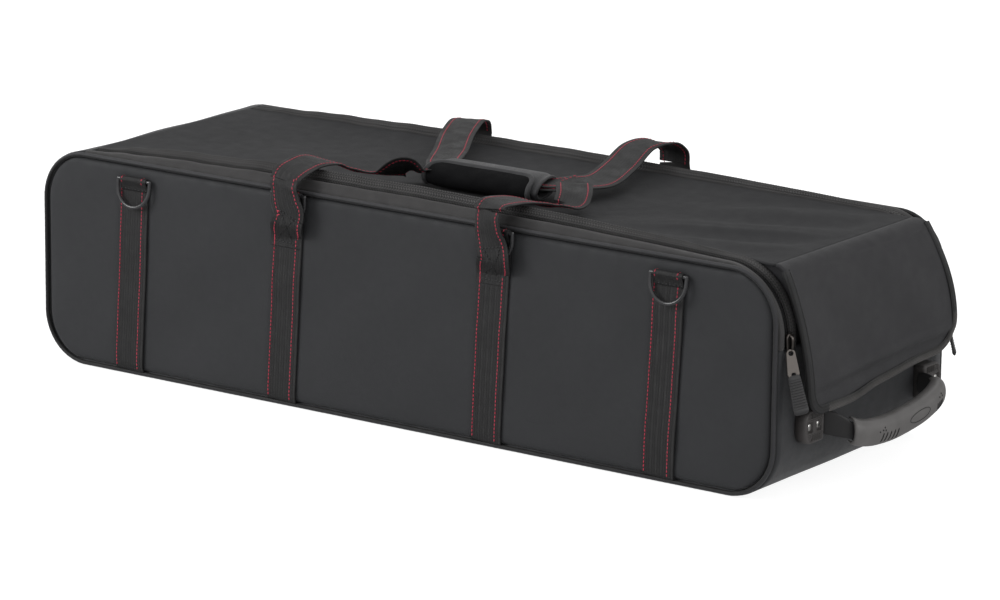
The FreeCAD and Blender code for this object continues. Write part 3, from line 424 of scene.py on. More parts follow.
def mend(mesh, weld=None, fill=False):
    """Joins a mesh's seams, closes its open ends and turns its faces outwards."""
    bm = bmesh.new()
    bm.from_mesh(mesh)
    if weld:
        bmesh.ops.remove_doubles(bm, verts=bm.verts, dist=weld)
    if fill:
        bmesh.ops.holes_fill(bm, edges=[edge for edge in bm.edges if edge.is_boundary])
    bmesh.ops.recalc_face_normals(bm, faces=bm.faces)
    bm.to_mesh(mesh)
    bm.free()


def pipe(name):
    """One cord in its strip, a closed ring of rings round a panel."""
    low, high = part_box(name)
    middle = (low.y + high.y) / 2
    crown = math.copysign(math.pi / 4, middle)
    places, outs = outline_path(high.x - PIPE_RADIUS, low.z + PIPE_RADIUS,
                                high.z - PIPE_RADIUS, PIPE_CORNER - PIPE_RADIUS, PIPE_STEP)
    points, metres = [], []
    for index in range(len(places) + 1):
        (x, z), out = places[index % len(places)], outs[index % len(places)]
        plump = PIPE_RADIUS * CORD_SHARE * (1 + 0.018 * math.sin(index * 1.7)
                                            + 0.012 * math.sin(index * 0.31))
        row, flat = [], []
        for step in range(PIPE_RING):
            turn = 2 * math.pi * step / PIPE_RING
            angle = crown + math.pi + turn
            row.append((x + out[0] * plump * math.cos(angle), middle + plump * math.sin(angle),
                        z + out[1] * plump * math.cos(angle)))
            flat.append((turn * PIPE_RADIUS, index * PIPE_STEP))
        flat.append((2 * math.pi * PIPE_RADIUS, index * PIPE_STEP))
        points.append(row)
        metres.append(flat)
    made = surface(name + "_cord", points, metres, PIPING, closed=True)
    mend(made.data, weld=1e-6)
    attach(made, "bag")
    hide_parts(name)


pipe("front_piping")
pipe("rear_piping")

# Walls: one padded band of the same cloth that runs down the hinge end, under the case and
# up the haul end, with the wheel housings let into it at the hinge end.
WALL_THICKNESS = 0.0068
WALL_SOFT = 0.0009
WALL_PITCH = 0.008
CORNER_STEPS = 22
WELL_GAP, WELL_TOP = 0.0055, 0.0619


def wall_path():
    """The wall's outer line from the hinge end's top, down, along and up the haul end."""
    low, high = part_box("hinge_end_panel")
    half, radius = -low.x, PIPE_CORNER
    line = []

    def corner(x, z, way, start=1):
        for turn in np.linspace(0, math.pi / 2, CORNER_STEPS)[start:]:
            out_x, out_z = way(math.sin(turn), math.cos(turn))
            line.append((x + radius * out_x, z + radius * out_z, out_x, out_z))

    corner(radius - half, high.z - radius, lambda sine, cosine: (-sine, cosine), 0)
    line += [(-half, z, -1.0, 0.0) for z in np.linspace(high.z - radius, radius, 32)[1:]]
    corner(radius - half, radius, lambda sine, cosine: (-cosine, -sine))
    line += [(x, 0.0, 0.0, -1.0) for x in np.linspace(radius - half, half - radius, 180)[1:]]
    corner(half - radius, radius, lambda sine, cosine: (sine, -cosine))
    haul_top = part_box("haul_end_panel")[1].z
    return line + [(half, z, 1.0, 0.0) for z in np.linspace(radius, haul_top, 28)[1:]]


def walls():
    """The band along that line, cut open where the wheels' housings are."""
    corner, side = -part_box("base_panel")[1].x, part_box("base_panel")[1].y
    wells = []
    for node in ("front_wheel_hub", "rear_wheel_hub"):
        low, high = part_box(node)
        wells.append((low.y - WELL_GAP, high.y + WELL_GAP))
    cuts = sorted([edge for well in wells for edge in well] + [-side, side])
    stations = []
    for start, end in zip(cuts, cuts[1:]):
        steps = max(2, round((end - start) / WALL_PITCH))
        stations += list(np.linspace(start, end, steps)[:-1])
    stations.append(side)
    line = wall_path()
    points, metres, run = [], [], 0.0
    for index, (x, z, out_x, out_z) in enumerate(line):
        if index:
            run += math.dist((x, z), line[index - 1][:2])
        row, flat = [], []
        for y in stations:
            edge = side - abs(y)
            ease = math.sin(19 * y + 13 * run + 0.4) * math.sin(23 * run - 7 * y)
            ease += 0.5 * math.sin(51 * y + 2.0) * math.sin(37 * run + 1.0)
            soft = WALL_SOFT * (ease - 1.0) * (1 - math.exp(-edge / 0.02))
            if out_z < -0.5:
                soft = min(soft, 0.0) * 0.4
            near_well = min(abs(y - edge_y) for well in wells for edge_y in well)
            if x < corner + 0.02 and z < WELL_TOP + 0.03:
                soft *= min(1.0, near_well / 0.02)
            row.append((x + out_x * soft, y, z + out_z * soft))
            flat.append((y, run))
        points.append(row)
        metres.append(flat)
    made = surface("case_walls", points, metres, CLOTH)
    bm = bmesh.new()
    bm.from_mesh(made.data)
    for face in list(bm.faces):
        centre = face.calc_center_median()
        inside = any(low < centre.y < high for low, high in wells)
        if inside and centre.x < corner and centre.z < WELL_TOP:
            bm.faces.remove(face)
    bmesh.ops.delete(bm, geom=[v for v in bm.verts if not v.link_faces], context="VERTS")
    bm.to_mesh(made.data)
    bm.free()
    thicken(made, "padding", WALL_THICKNESS)
    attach(made, "bag")
    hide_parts("base_panel", "hinge_end_panel", "haul_end_panel")


walls()

# Rim bands: strips of padded cloth between the piping and the zip. Loose in the middle of
# the case, where the load pushes them up, and sewn flat round the haul end's corner.
RIM_PLACES = (0.0, 0.1, 0.3, 0.54, 0.76, 0.93, 1.0)
RIM_RISES = (0.0, 0.55, 0.95, 1.0, 0.75, 0.3, 0.0)
RIM_CRESTS = (0.0, 0.6, 0.95, 1.0, 0.85, 0.55, 0.3)
RIM_SAGS = (0.0, 0.5, 0.9, 1.0, 0.9, 0.5, 0.25)
FRONT_RISE, REAR_RISE = 0.0094, 0.0022
FRONT_CREST, REAR_CREST = 0.0082, 0.0082
ZIP_LINE = 0.145
ZIP_CORNER = 0.070
ZIP_TAIL = 0.0117
RIM_STEP = 0.004
BAND_INNER, BAND_SEAM = ZIP_LINE + 0.0048, 0.1592
BAND_PUFF, BAND_THICKNESS = 0.0012, 0.0016
BAND_POINTS = 9
CURVE_PLACES = np.linspace(-0.1, 1.1, 481)
CURVE_BLUR = 49
CASE_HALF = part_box("front_piping")[1].x
CASE_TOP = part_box("front_piping")[1].z
STRAIGHT_START = PIPE_CORNER - CASE_HALF
ZIP_CENTRE = (CASE_HALF - ZIP_CORNER, CASE_TOP - ZIP_CORNER)
BAND_CLOTH = cloth_material("band_cloth", (0.0265, 0.0252, 0.0256, 1.0), CLOTH_THREAD, 0.62,
                            0.00008, 0.12)


def eased(share):
    """A share that starts and ends softly."""
    return share * share * (3 - 2 * share)


def smoothed(shares):
    """A soft curve through a table of shares along the straight rim."""
    kernel = np.hanning(CURVE_BLUR)
    fine = np.pad(np.interp(CURVE_PLACES, RIM_PLACES, shares), CURVE_BLUR // 2, mode="edge")
    soft = np.convolve(fine, kernel / kernel.sum(), mode="valid")
    return lambda share: float(np.interp(share, CURVE_PLACES, soft))


rise_at, crest_at, sag_at = smoothed(RIM_RISES), smoothed(RIM_CRESTS), smoothed(RIM_SAGS)


def rim_stations(rise, crest):
    """The closure line's places in XZ, outward directions, rise, crest and run."""
    stations = []
    long = ZIP_CENTRE[0] - STRAIGHT_START
    for share in np.linspace(0, 1, round(long / RIM_STEP)):
        run = share * long
        flutter = 0.0004 * math.sin(run * 61) + 0.0003 * math.sin(run * 143 + 1)
        lift = min(1.0, share / 0.05)
        stations.append(((STRAIGHT_START + run, CASE_TOP), (0.0, 1.0),
                         rise * rise_at(share) * lift + flutter * lift * (1 - share),
                         crest * crest_at(share) * lift, run))
    last = stations[-1]
    for angle in np.linspace(math.pi / 2, 0, 30)[1:]:
        out = (math.cos(angle), math.sin(angle))
        fade = angle / (math.pi / 2)
        stations.append(((ZIP_CENTRE[0] + out[0] * ZIP_CORNER,
                          ZIP_CENTRE[1] + out[1] * ZIP_CORNER), out, last[2] * fade ** 2,
                         last[3], long + (math.pi / 2 - angle) * ZIP_CORNER))
    for drop in np.linspace(0, ZIP_TAIL, 5)[1:]:
        stations.append(((CASE_HALF, ZIP_CENTRE[1] - drop), (1.0, 0.0), 0.0, last[3],
                         long + math.pi / 2 * ZIP_CORNER + drop))
    return stations


def along_rim(name, side, stations, profile, material):
    """A strip carried along the closure line by a profile of across, out and cloth width."""
    points, metres = [], []
    for place, out, rise, crest, run in stations:
        row, flat = [], []
        for across, lift, width in profile(rise, crest):
            row.append((place[0] + out[0] * lift, side * across, place[1] + out[1] * lift))
            flat.append((width, run))
        points.append(row)
        metres.append(flat)
    return surface(name, points, metres, material, flipped=side > 0)


def rim_band(name, side, rise):
    """The band from the piping's seam up to the zip, its inner edge turned down."""
    def profile(lift, crest):
        line = [(BAND_SEAM + 0.0006, -0.0045, -0.004), (BAND_SEAM, -0.0022, -0.002)]
        start = BAND_SEAM - 0.0006
        for share in np.linspace(0, 1, BAND_POINTS):
            climb = eased(share) * 0.5 + share * 0.5
            puff = BAND_PUFF * math.sin(math.pi * min(1, share + 0.1))
            line.append((start - (start - BAND_INNER) * share, lift * climb + puff,
                         share * 0.013))
        line += [(BAND_INNER - 0.0004, lift - 0.0007, 0.014),
                 (BAND_INNER - 0.0005, lift - 0.0034, 0.016)]
        return line[::-1]

    made = along_rim(name + "_cloth", side, rim_stations(rise, 0), profile, BAND_CLOTH)
    thicken(made, "padding", BAND_THICKNESS)
    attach(made, "bag")
    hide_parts(name)


rim_band("front_rim_band", -1, FRONT_RISE)
rim_band("rear_rim_band", 1, REAR_RISE)

# Zips: two nylon coils sewn on woven tape along each side, one half on the case and one on
# the lid. The teeth are turns of the coil, set side by side.
TAPE_WIDTH, TAPE_THICKNESS = 0.0075, 0.0008
COIL_MIDDLE, COIL_DEPTH = 0.0021, 0.0027
TOOTH_PITCH, TOOTH_LONG, TOOTH_WIDE, TOOTH_HIGH = 0.0021, 0.0036, 0.0015, 0.0022


def repeat_tree():
    """Small rounded pieces set along lines, each turned to its line and its outward way."""
    tree = bpy.data.node_groups.new("rounded_pieces_along_lines", "GeometryNodeTree")
    for name, way, kind in (("Lines", "INPUT", "Geometry"), ("Pitch", "INPUT", "Float"),
                            ("Long", "INPUT", "Float"), ("Wide", "INPUT", "Float"),
                            ("High", "INPUT", "Float"), ("Finish", "INPUT", "Material"),
                            ("Pieces", "OUTPUT", "Geometry")):
        tree.interface.new_socket(name=name, in_out=way, socket_type="NodeSocket" + kind)
    given = tree.nodes.new("NodeGroupInput").outputs

    def node(kind, inputs, **settings):
        made = tree.nodes.new(kind)
        for name, value in settings.items():
            setattr(made, name, value)
        for name, value in inputs.items():
            if isinstance(value, bpy.types.NodeSocket):
                tree.links.new(value, made.inputs[name])
            else:
                made.inputs[name].default_value = value
        return made.outputs

    lines = node("GeometryNodeMeshToCurve", {0: given["Lines"]})
    spaced = node("GeometryNodeResampleCurve", {"Curve": lines[0], "Length": given["Pitch"]},
                  mode="LENGTH")
    ball = node("GeometryNodeMeshUVSphere", {"Segments": 6, "Rings": 4, "Radius": 0.5})
    outward = node("GeometryNodeInputNamedAttribute", {"Name": "outward"},
                   data_type="FLOAT_VECTOR")
    stand = node("FunctionNodeAlignRotationToVector", {"Vector": outward[0]}, axis="Z")
    tangent = node("GeometryNodeInputTangent", {})
    turned = node("FunctionNodeAlignRotationToVector",
                  {"Rotation": stand[0], "Vector": tangent[0]}, axis="X", pivot_axis="Z")
    scale = node("ShaderNodeCombineXYZ",
                 {"X": given["Long"], "Y": given["Wide"], "Z": given["High"]})
    placed = node("GeometryNodeInstanceOnPoints", {
        "Points": spaced[0], "Instance": ball["Mesh"], "Rotation": turned[0],
        "Scale": scale[0]})
    real = node("GeometryNodeRealizeInstances", {0: placed[0]})
    smooth = node("GeometryNodeSetShadeSmooth", {0: real[0]})
    finish = node("GeometryNodeSetMaterial", {"Geometry": smooth[0], "Material": given["Finish"]})
    tree.links.new(finish[0], tree.nodes.new("NodeGroupOutput").inputs[0])
    return tree


ROUNDED_PIECES = repeat_tree()


def repeated(name, lines, body, slot, material, **sizes):
    """One mesh of small pieces along lines of places, each with its outward direction."""
    points, edges, outs = [], [], []
    for line in lines:
        start = len(points)
        points += [place for place, out in line]
        outs += [out for place, out in line]
        edges += [(start + index, start + index + 1) for index in range(len(line) - 1)]
    mesh = bpy.data.meshes.new(name)
    mesh.from_pydata(points, edges, [])
    mesh.attributes.new("outward", "FLOAT_VECTOR", "POINT").data.foreach_set(
        "vector", np.ravel(outs))
    guide = linked(name + "_guide", mesh)
    setter = guide.modifiers.new("pieces", "NODES")
    setter.node_group = ROUNDED_PIECES
    sizes["Finish"] = material
    for item in ROUNDED_PIECES.interface.items_tree:
        if item.name in sizes:
            setter[item.identifier] = sizes[item.name]
    graph = bpy.context.evaluated_depsgraph_get()
    made = linked(name, bpy.data.meshes.new_from_object(guide.evaluated_get(graph)))
    bpy.data.objects.remove(guide)
    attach(made, body)


ZIP_TAPE = cloth_material("zip_tape", (0.014, 0.014, 0.015, 1.0), 0.0007, 0.6, 0.0001, 0.1)
NYLON, tree, shader = finish_material("coil_nylon")
shader.inputs["Base Color"].default_value = (0.012, 0.012, 0.013, 1.0)
rub = noise(tree, tree.nodes.new("ShaderNodeTexCoord").outputs["Object"], 400.0)
tree.links.new(math_node(tree, "ADD", math_node(tree, "MULTIPLY", rub, 0.3), 0.2),
               shader.inputs["Roughness"])


def zip_half(node, side, rise, hand, body):
    """Tape and teeth on one side of the closure line: hand 1 on the case, -1 on the lid."""
    stations = rim_stations(rise, 0)
    if hand < 0:
        stations = stations[1:]
    near = ZIP_LINE + hand * 0.0016

    def profile(lift, crest):
        return [(near + hand * TAPE_WIDTH * share, lift * (1 if share < 0.4 else 0.75)
                 - COIL_DEPTH - TAPE_THICKNESS - 0.0006, TAPE_WIDTH * share)
                for share in np.linspace(0, 1, 4)[::hand]]

    tape = along_rim(node + "_tape", side, stations, profile, ZIP_TAPE)
    thicken(tape, "weave", TAPE_THICKNESS, 0)
    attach(tape, body)
    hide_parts(node)
    line = []
    for place, out, lift, crest, run in stations:
        rise_by = lift - COIL_DEPTH
        line.append(((place[0] + out[0] * rise_by, side * (ZIP_LINE + hand * COIL_MIDDLE),
                      place[1] + out[1] * rise_by), (out[0], 0.0, out[1])))
    repeated(node + "_teeth", [line], body, "zip_tape", NYLON, Pitch=TOOTH_PITCH,
             Long=TOOTH_WIDE, Wide=TOOTH_LONG, High=TOOTH_HIGH)


for side_name, side, rise in (("front", -1, FRONT_RISE), ("rear", 1, REAR_RISE)):
    zip_half(side_name + "_zip_case_half", side, rise, 1, "bag")
    zip_half(side_name + "_zip_lid_half", side, rise, -1, "lid")

# Lid edges: ribbed tape folded over the lid's rim and sewn through with two rows, so that it
# stands as a crest beside the zip. The front one leans in and the rear one stands outside.
EDGE_IN, EDGE_OUT = 0.1332, 0.1411
EDGE_BULGE, EDGE_POINTS, EDGE_THICKNESS = 0.0011, 9, 0.0012
EDGE_TAPE_COLOUR = (0.021, 0.021, 0.022, 1.0)
THREAD_COLOUR = (0.010, 0.010, 0.011, 1.0)
SEAM_STITCH = {"Pitch": 0.0034, "Long": 0.0027, "Wide": 0.0007, "High": 0.0006}


def chevron_weave():
    """Ribs that slant one way and then the other across a tape, as in twill tape."""
    tree, given, put = new_group("chevron_weave", ("Rib", "Row", "Slant"), ("Height",))
    split = tree.nodes.new("ShaderNodeSeparateXYZ")
    tree.links.new(given["Place"], split.inputs[0])
    zigzag = math_node(tree, "PINGPONG", split.outputs[0], given["Row"])
    slanted = math_node(tree, "ADD", split.outputs[1], math_node(
        tree, "MULTIPLY", zigzag, given["Slant"]))
    rib = ridged(tree, math_node(tree, "DIVIDE", slanted, given["Rib"]))
    groove = ridged(tree, math_node(tree, "DIVIDE", zigzag, given["Row"]))
    tree.links.new(math_node(tree, "MULTIPLY", rib, math_node(tree, "POWER", groove, 0.3)),
                   put["Height"])
    return tree


CHEVRON = chevron_weave()


def tape_material(name, colour, rib, row, slant, roughness, depth, contrast=1.0):
    """Narrow woven tape: chevron ribs on the piece's UV map, with worn and dusty spots."""
    made, tree, shader = finish_material(name)
    place = metres_of(tree)
    weave = grouped(tree, CHEVRON, place, Rib=rib, Row=row, Slant=slant)
    fine = grouped(tree, WEAVE, place, Thread=rib * 0.5, Drift=0.6)
    crowns = math_node(tree, "POWER", weave["Height"], 2.5)
    toned(tree, shader, colour, 1 - 0.7 * contrast, 1 + 0.6 * contrast,
          math_node(tree, "ADD", crowns, fine["Tone"]))
    tree.links.new(math_node(tree, "ADD", fine["Wear"], roughness), shader.inputs["Roughness"])
    bumped(tree, shader, math_node(tree, "ADD", weave["Height"], math_node(
        tree, "MULTIPLY", fine["Height"], 0.25)), 0.9, depth)
    shader.inputs["Specular IOR Level"].default_value = 0.4
    return made


def thread_material(name, colour, roughness=0.45):
    """Twisted sewing thread, its tone varying a little at random."""
    made, tree, shader = finish_material(name)
    where = tree.nodes.new("ShaderNodeTexCoord").outputs["Object"]
    toned(tree, shader, colour, 0.6, 1.4, noise(tree, where, 900.0))
    shader.inputs["Roughness"].default_value = roughness
    return made


EDGE_TAPE = tape_material("edge_tape", EDGE_TAPE_COLOUR, 0.0024, 0.0034, 1.0, 0.55, 0.0004, 1.15)
LID_TAPE = tape_material("lid_tape", (0.052, 0.050, 0.050, 1.0), 0.0034, 0.0027, 1.1, 0.6,
                         0.0007, 1.35)
BLACK_THREAD = thread_material("black_thread", THREAD_COLOUR)


def leaning(side, share):
    """The edge's height across its tape: the front one leans in, the rear one stands outside."""
    return share if side < 0 else 1 - 0.95 * share ** 1.3


def edge_bulge(share):
    """How far the folded tape bellies across its width."""
    return EDGE_BULGE * math.sin(math.pi * (0.15 + 0.75 * share))


def lid_edge(node, side, rise, crest):
    """One bound edge from the hinge end round the haul end's corner, with its stitches."""
    def profile(lift, top):
        line = [(EDGE_OUT + 0.0002, lift - 0.0030, 0.0), (EDGE_OUT + 0.0003, lift - 0.0008, 0.002)]
        for share in np.linspace(0, 1, EDGE_POINTS):
            line.append((EDGE_OUT + (EDGE_IN - EDGE_OUT) * share,
                         lift + 0.0002 + top * leaning(side, share) + edge_bulge(share),
                         0.003 + 0.010 * share))
        end = top * leaning(side, 1.0)
        line += [(EDGE_IN - 0.0010, lift + end - 0.0003, 0.014),
                 (EDGE_IN - 0.0012, lift + end * 0.4 - 0.0022, 0.018)]
        return line[::-1]

    stations = rim_stations(rise, crest)[1:]
    made = along_rim(node + "_tape", side, stations, profile, LID_TAPE)
    thicken(made, "weave", EDGE_THICKNESS)
    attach(made, "lid")
    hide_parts(node)
    rows = []
    for share in (0.06, 0.78):
        row = []
        for place, out, lift, top, run in stations:
            height = lift + top * leaning(side, share) + edge_bulge(share) + 0.0003
            row.append(((place[0] + out[0] * height,
                         side * (EDGE_OUT + (EDGE_IN - EDGE_OUT) * share),
                         place[1] + out[1] * height), (out[0], side * 0.6, out[1])))
        rows.append(row)
    repeated(node + "_stitches", rows, "lid", "binding_tape", BLACK_THREAD, **SEAM_STITCH)


lid_edge("front_lid_binding", -1, FRONT_RISE, FRONT_CREST)
lid_edge("rear_lid_binding", 1, REAR_RISE, REAR_CREST)

# Lid: one lightly padded sheet that lies loose between its edges. It sinks behind the front
# crest, billows a little over what lies inside, and is sewn down at the hinge end.
LID_ROWS, LID_COLUMNS = 150, 84
LID_HALF = EDGE_IN - 0.0008
LID_SAG_DEPTH = 0.0055
LID_HANG = 0.016
LID_THICKNESS = 0.0026
LID_END = 0.4600
CREASE = (0.4710, 0.2395)
LID_CLOTH = cloth_material("lid_cloth", (0.0260, 0.0262, 0.0276, 1.0), CLOTH_THREAD, 0.72,
                           0.00006, 0.0, 0.3, 0.20)


def lid_height(x, y, top_front, top_rear, sag):
    """Height of the loose sheet between its two edges."""
    middle = CASE_TOP + 0.0005 - LID_SAG_DEPTH * sag
    front_share = math.exp(-(LID_HALF + y) / LID_HANG)
    rear_share = math.exp(-(LID_HALF - y) / LID_HANG)
    bow = abs(y / LID_HALF) ** 3
    front = (0.55 * front_share + 0.45 * bow * (y < 0)) * (top_front - middle)
    rear = (0.55 * rear_share + 0.45 * bow * (y >= 0)) * (top_rear - middle)
    loose = sag * (1 - (y / LID_HALF) ** 2)
    wave = 0.0022 * math.sin(9.5 * x + 1.1) * math.sin(13 * y + 0.5)
    wave += 0.0013 * math.sin(24 * x - 15 * y + 0.3) * math.cos(17 * y)
    wave += 0.0007 * math.sin(47 * x + 31 * y + 2.0)
    wave += 0.0030 * math.exp(-((x + 0.21) / 0.07) ** 2 - ((y + 0.03) / 0.05) ** 2)
    tail = math.exp(-((x - 0.36) / 0.11) ** 2) * (1 - (y / LID_HALF) ** 4)
    fold = 0.0036 * math.sin(70 * (y - 0.34 * (x - 0.36) + 0.030)) * tail
    fold += 0.0018 * math.exp(-((y + 0.045 - 0.34 * (x - 0.3)) / 0.007) ** 2) * tail
    return middle + front + rear + wave * loose + fold


def lid():
    """The sheet from the hinge end's seam to the crease, its rows across the case."""
    rims = ((-1, rim_stations(FRONT_RISE, FRONT_CREST)), (1, rim_stations(REAR_RISE, REAR_CREST)))
    long = ZIP_CENTRE[0] - STRAIGHT_START
    level = CREASE[1] + 0.0018
    points, metres = [], []
    places = np.linspace(STRAIGHT_START - 0.0015, LID_END, LID_ROWS)
    for x in places:
        run = min(max(x - STRAIGHT_START, 0.0), long)
        beyond = max(x - ZIP_CENTRE[0], 0.0) / (LID_END - ZIP_CENTRE[0])
        ease = eased(beyond)
        tops = []
        for side, stations in rims:
            near = min(stations, key=lambda item: abs(item[4] - run))
            top = CASE_TOP + near[2] + near[3] * leaning(side, 1.0) - 0.0004
            tops.append(top * (1 - ease) + level * ease)
        sag = sag_at(run / long) * (1 - ease) * min(1.0, (x - places[0]) / 0.02)
        row, flat = [], []
        for step in np.linspace(-1, 1, LID_COLUMNS):
            y = math.copysign(abs(step) ** 0.85, step) * LID_HALF
            height = lid_height(x, y, *tops, sag)
            if beyond > 0:
                height = height * (1 - ease) + level * ease
            row.append((x, y, height))
            flat.append((x, y))
        points.append(row)
        metres.append(flat)
    made = surface("lid_cloth", points, metres, LID_CLOTH, flipped=True)
    thicken(made, "padding", LID_THICKNESS)
    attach(made, "lid")
    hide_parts("lid_panel")


lid()

# End flap: the lid's own cloth turned down over the haul end, bowed by the load behind it,
# with twill tape folded over its edge and sewn with one row of stitches.
FLAP_LOW = (0.5035, 0.0895)
FLAP_BELLY = 0.009
FLAP_HALF_THICKNESS = 0.002
FLAP_TOP_HALF, FLAP_LOW_HALF, FLAP_REAR_HALF = 0.1392, 0.1335, 0.1395
FLAP_CORNER, FLAP_REAR_CORNER = 0.024, 0.040
FLAP_LONG, FLAP_CLOTH_LONG, FLAP_EDGE_LONG = 0.151, 0.156, 0.15
FLAP_BULGE, FLAP_CLIMB = 0.0105, 0.019
FLAP_JOIN = 0.07
FLAP_ROWS, FLAP_COLUMNS = 60, 64
BEND_ROWS = 10
FLAP_CLOTH = cloth_material("flap_cloth", (0.0235, 0.0233, 0.0253, 1.0), CLOTH_THREAD, 0.65,
                            0.00008, 0.05, 0.4, 0.25)


def flap_line(share):
    """Place and outward direction on the flap's side view, from its crease to its hem."""
    crease, low = Vector((CREASE[0], 0, CREASE[1])), Vector((FLAP_LOW[0], 0, FLAP_LOW[1]))
    chord = low - crease
    place = crease + chord * share + Vector((FLAP_BELLY * 4 * share * (1 - share), 0, 0))
    slope = chord + Vector((FLAP_BELLY * 4 * (1 - 2 * share), 0, 0))
    outward = Vector((-slope.z, 0, slope.x)).normalized()
    return place, outward


def flap_half_width(share, across=-1.0):
    """Half its width: narrower towards the front's round lower corner, straight at the rear."""
    if across > 0:
        return FLAP_REAR_HALF
    width = FLAP_TOP_HALF + (FLAP_LOW_HALF - FLAP_TOP_HALF) * share
    left = (1 - share) * FLAP_LONG
    if left < FLAP_CORNER:
        width -= FLAP_CORNER - math.sqrt(max(FLAP_CORNER ** 2 - (FLAP_CORNER - left) ** 2, 0))
    return width


def flap_rise(across):
    """How far the hem stands above the flap's lowest line: towards the rear and its corner."""
    rise = FLAP_CLIMB * eased(min(max((across + 0.75) / 1.75, 0.0), 1.0))
    into = max(across * FLAP_REAR_HALF - (FLAP_REAR_HALF - FLAP_REAR_CORNER), 0.0)
    turn = FLAP_REAR_CORNER - math.sqrt(max(FLAP_REAR_CORNER ** 2 - into ** 2, 0.0))
    return rise + turn * 0.85


def flap_ripple(share, across):
    """Soft folds: one slanting crease near the hem and slow billows above it."""
    fold = share - 0.76 + 0.050 * across
    ripple = 0.0026 * math.exp(-(fold / 0.03) ** 2)
    ripple -= 0.0020 * math.exp(-((fold - 0.05) / 0.03) ** 2)
    ripple += 0.0016 * math.sin(3.1 * across + 0.8) * math.sin(4.2 * share)
    ripple += 0.0007 * math.sin(9 * across - 7 * share)
    return ripple * min(1.0, share * 4) * (1 - abs(across) ** 6)


def flap_outer(share, across):
    """A point of the flap's outer face, at a share of its drop and a place across it."""
    low = share
    share *= 1 - flap_rise(across) / FLAP_LONG
    place, outward = flap_line(share)
    rear = eased(min(max((across + 0.15) / 1.15, 0.0), 1.0))
    out = FLAP_HALF_THICKNESS + flap_ripple(share, across)
    out += FLAP_BULGE * rear * math.sin(math.pi * min(share * 0.95, 1.0))
    return place + outward * out + Vector((0, across * flap_half_width(low, across), 0))


def flap_columns():
    """Places across the flap, closer together round its wide rear corner."""
    turn = [1 - FLAP_REAR_CORNER / FLAP_REAR_HALF * (1 - math.sin(angle))
            for angle in np.linspace(0, math.pi / 2, 20)[1:]]
    return list(np.linspace(-1, 1 - FLAP_REAR_CORNER / FLAP_REAR_HALF, FLAP_COLUMNS)) + turn


def flap():
    """The cloth from the lid's end over the crease and down to the hem."""
    points, metres = [], []
    start = Vector((LID_END - 0.001, 0, CREASE[1] + 0.0022))
    bend = Vector((CREASE[0] + 0.0015, 0, CREASE[1] + 0.0028))
    for step in np.linspace(0, 1, BEND_ROWS)[:-1]:
        row, flat = [], []
        for across in flap_columns():
            end = flap_outer(FLAP_JOIN, across)
            width = LID_HALF * (1 - step) + flap_half_width(FLAP_JOIN, across) * step
            middle = start * (1 - step) ** 2 + bend * 2 * step * (1 - step) + end * step ** 2
            row.append((middle.x, across * width, middle.z))
            flat.append((across * width, -0.02 * (1 - step)))
        points.append(row)
        metres.append(flat)
    shares = list(1 - (1 - np.linspace(0, 1, FLAP_ROWS)) ** 1.25)
    for share in [FLAP_JOIN] + [share for share in shares if share > FLAP_JOIN + 0.01]:
        points.append([flap_outer(share, across) for across in flap_columns()])
        metres.append([(across * flap_half_width(share, across),
                        share * (FLAP_CLOTH_LONG - flap_rise(across)))
                       for across in flap_columns()])
    made = surface("end_flap_cloth", points, metres, FLAP_CLOTH, flipped=True)
    thicken(made, "padding", 2 * FLAP_HALF_THICKNESS - 0.0008)
    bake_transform(made)
    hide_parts("end_flap")


flap()


def flap_edge_line():
    """The flap's edge from the front crease, round the hem, to the rear crease."""
    corner = FLAP_CORNER / FLAP_EDGE_LONG
    shares = [0.02] + list(np.linspace(0.06, 1 - corner, 26))
    shares += [1 - corner * (1 - math.sin(angle))
               for angle in np.linspace(0, math.pi / 2, 12)[1:]]
    front = [(share, -1.0) for share in shares]
    hem = [(1.0, across) for across in flap_columns()[1:-1]]
    rear = [(share, 1.0) for share in list(np.linspace(1.0, 0.06, 30)) + [0.02]]
    return front + hem + rear


HEM_TAPE = tape_material("hem_tape", (0.092, 0.087, 0.084, 1.0), 0.0033, 0.040, 0.8, 0.5, 0.0007,
                         1.42)
# The tape's section: how far in from the edge, how far out of the cloth, and tape used up
HEM_SECTION = ((0.0090, -0.0002, 0), (0.0088, 0.0008, 0.001), (0.0060, 0.0012, 0.0035),
               (0.0025, 0.0013, 0.007), (0.0002, 0.0010, 0.0095), (-0.0010, 0.0000, 0.011),
               (-0.0013, -0.0018, 0.013), (-0.0010, -0.0036, 0.015), (0.0002, -0.0045, 0.0165),
               (0.0030, -0.0046, 0.019), (0.0088, -0.0044, 0.025), (0.0090, -0.0036, 0.026))
HEM_THICKNESS = 0.0007


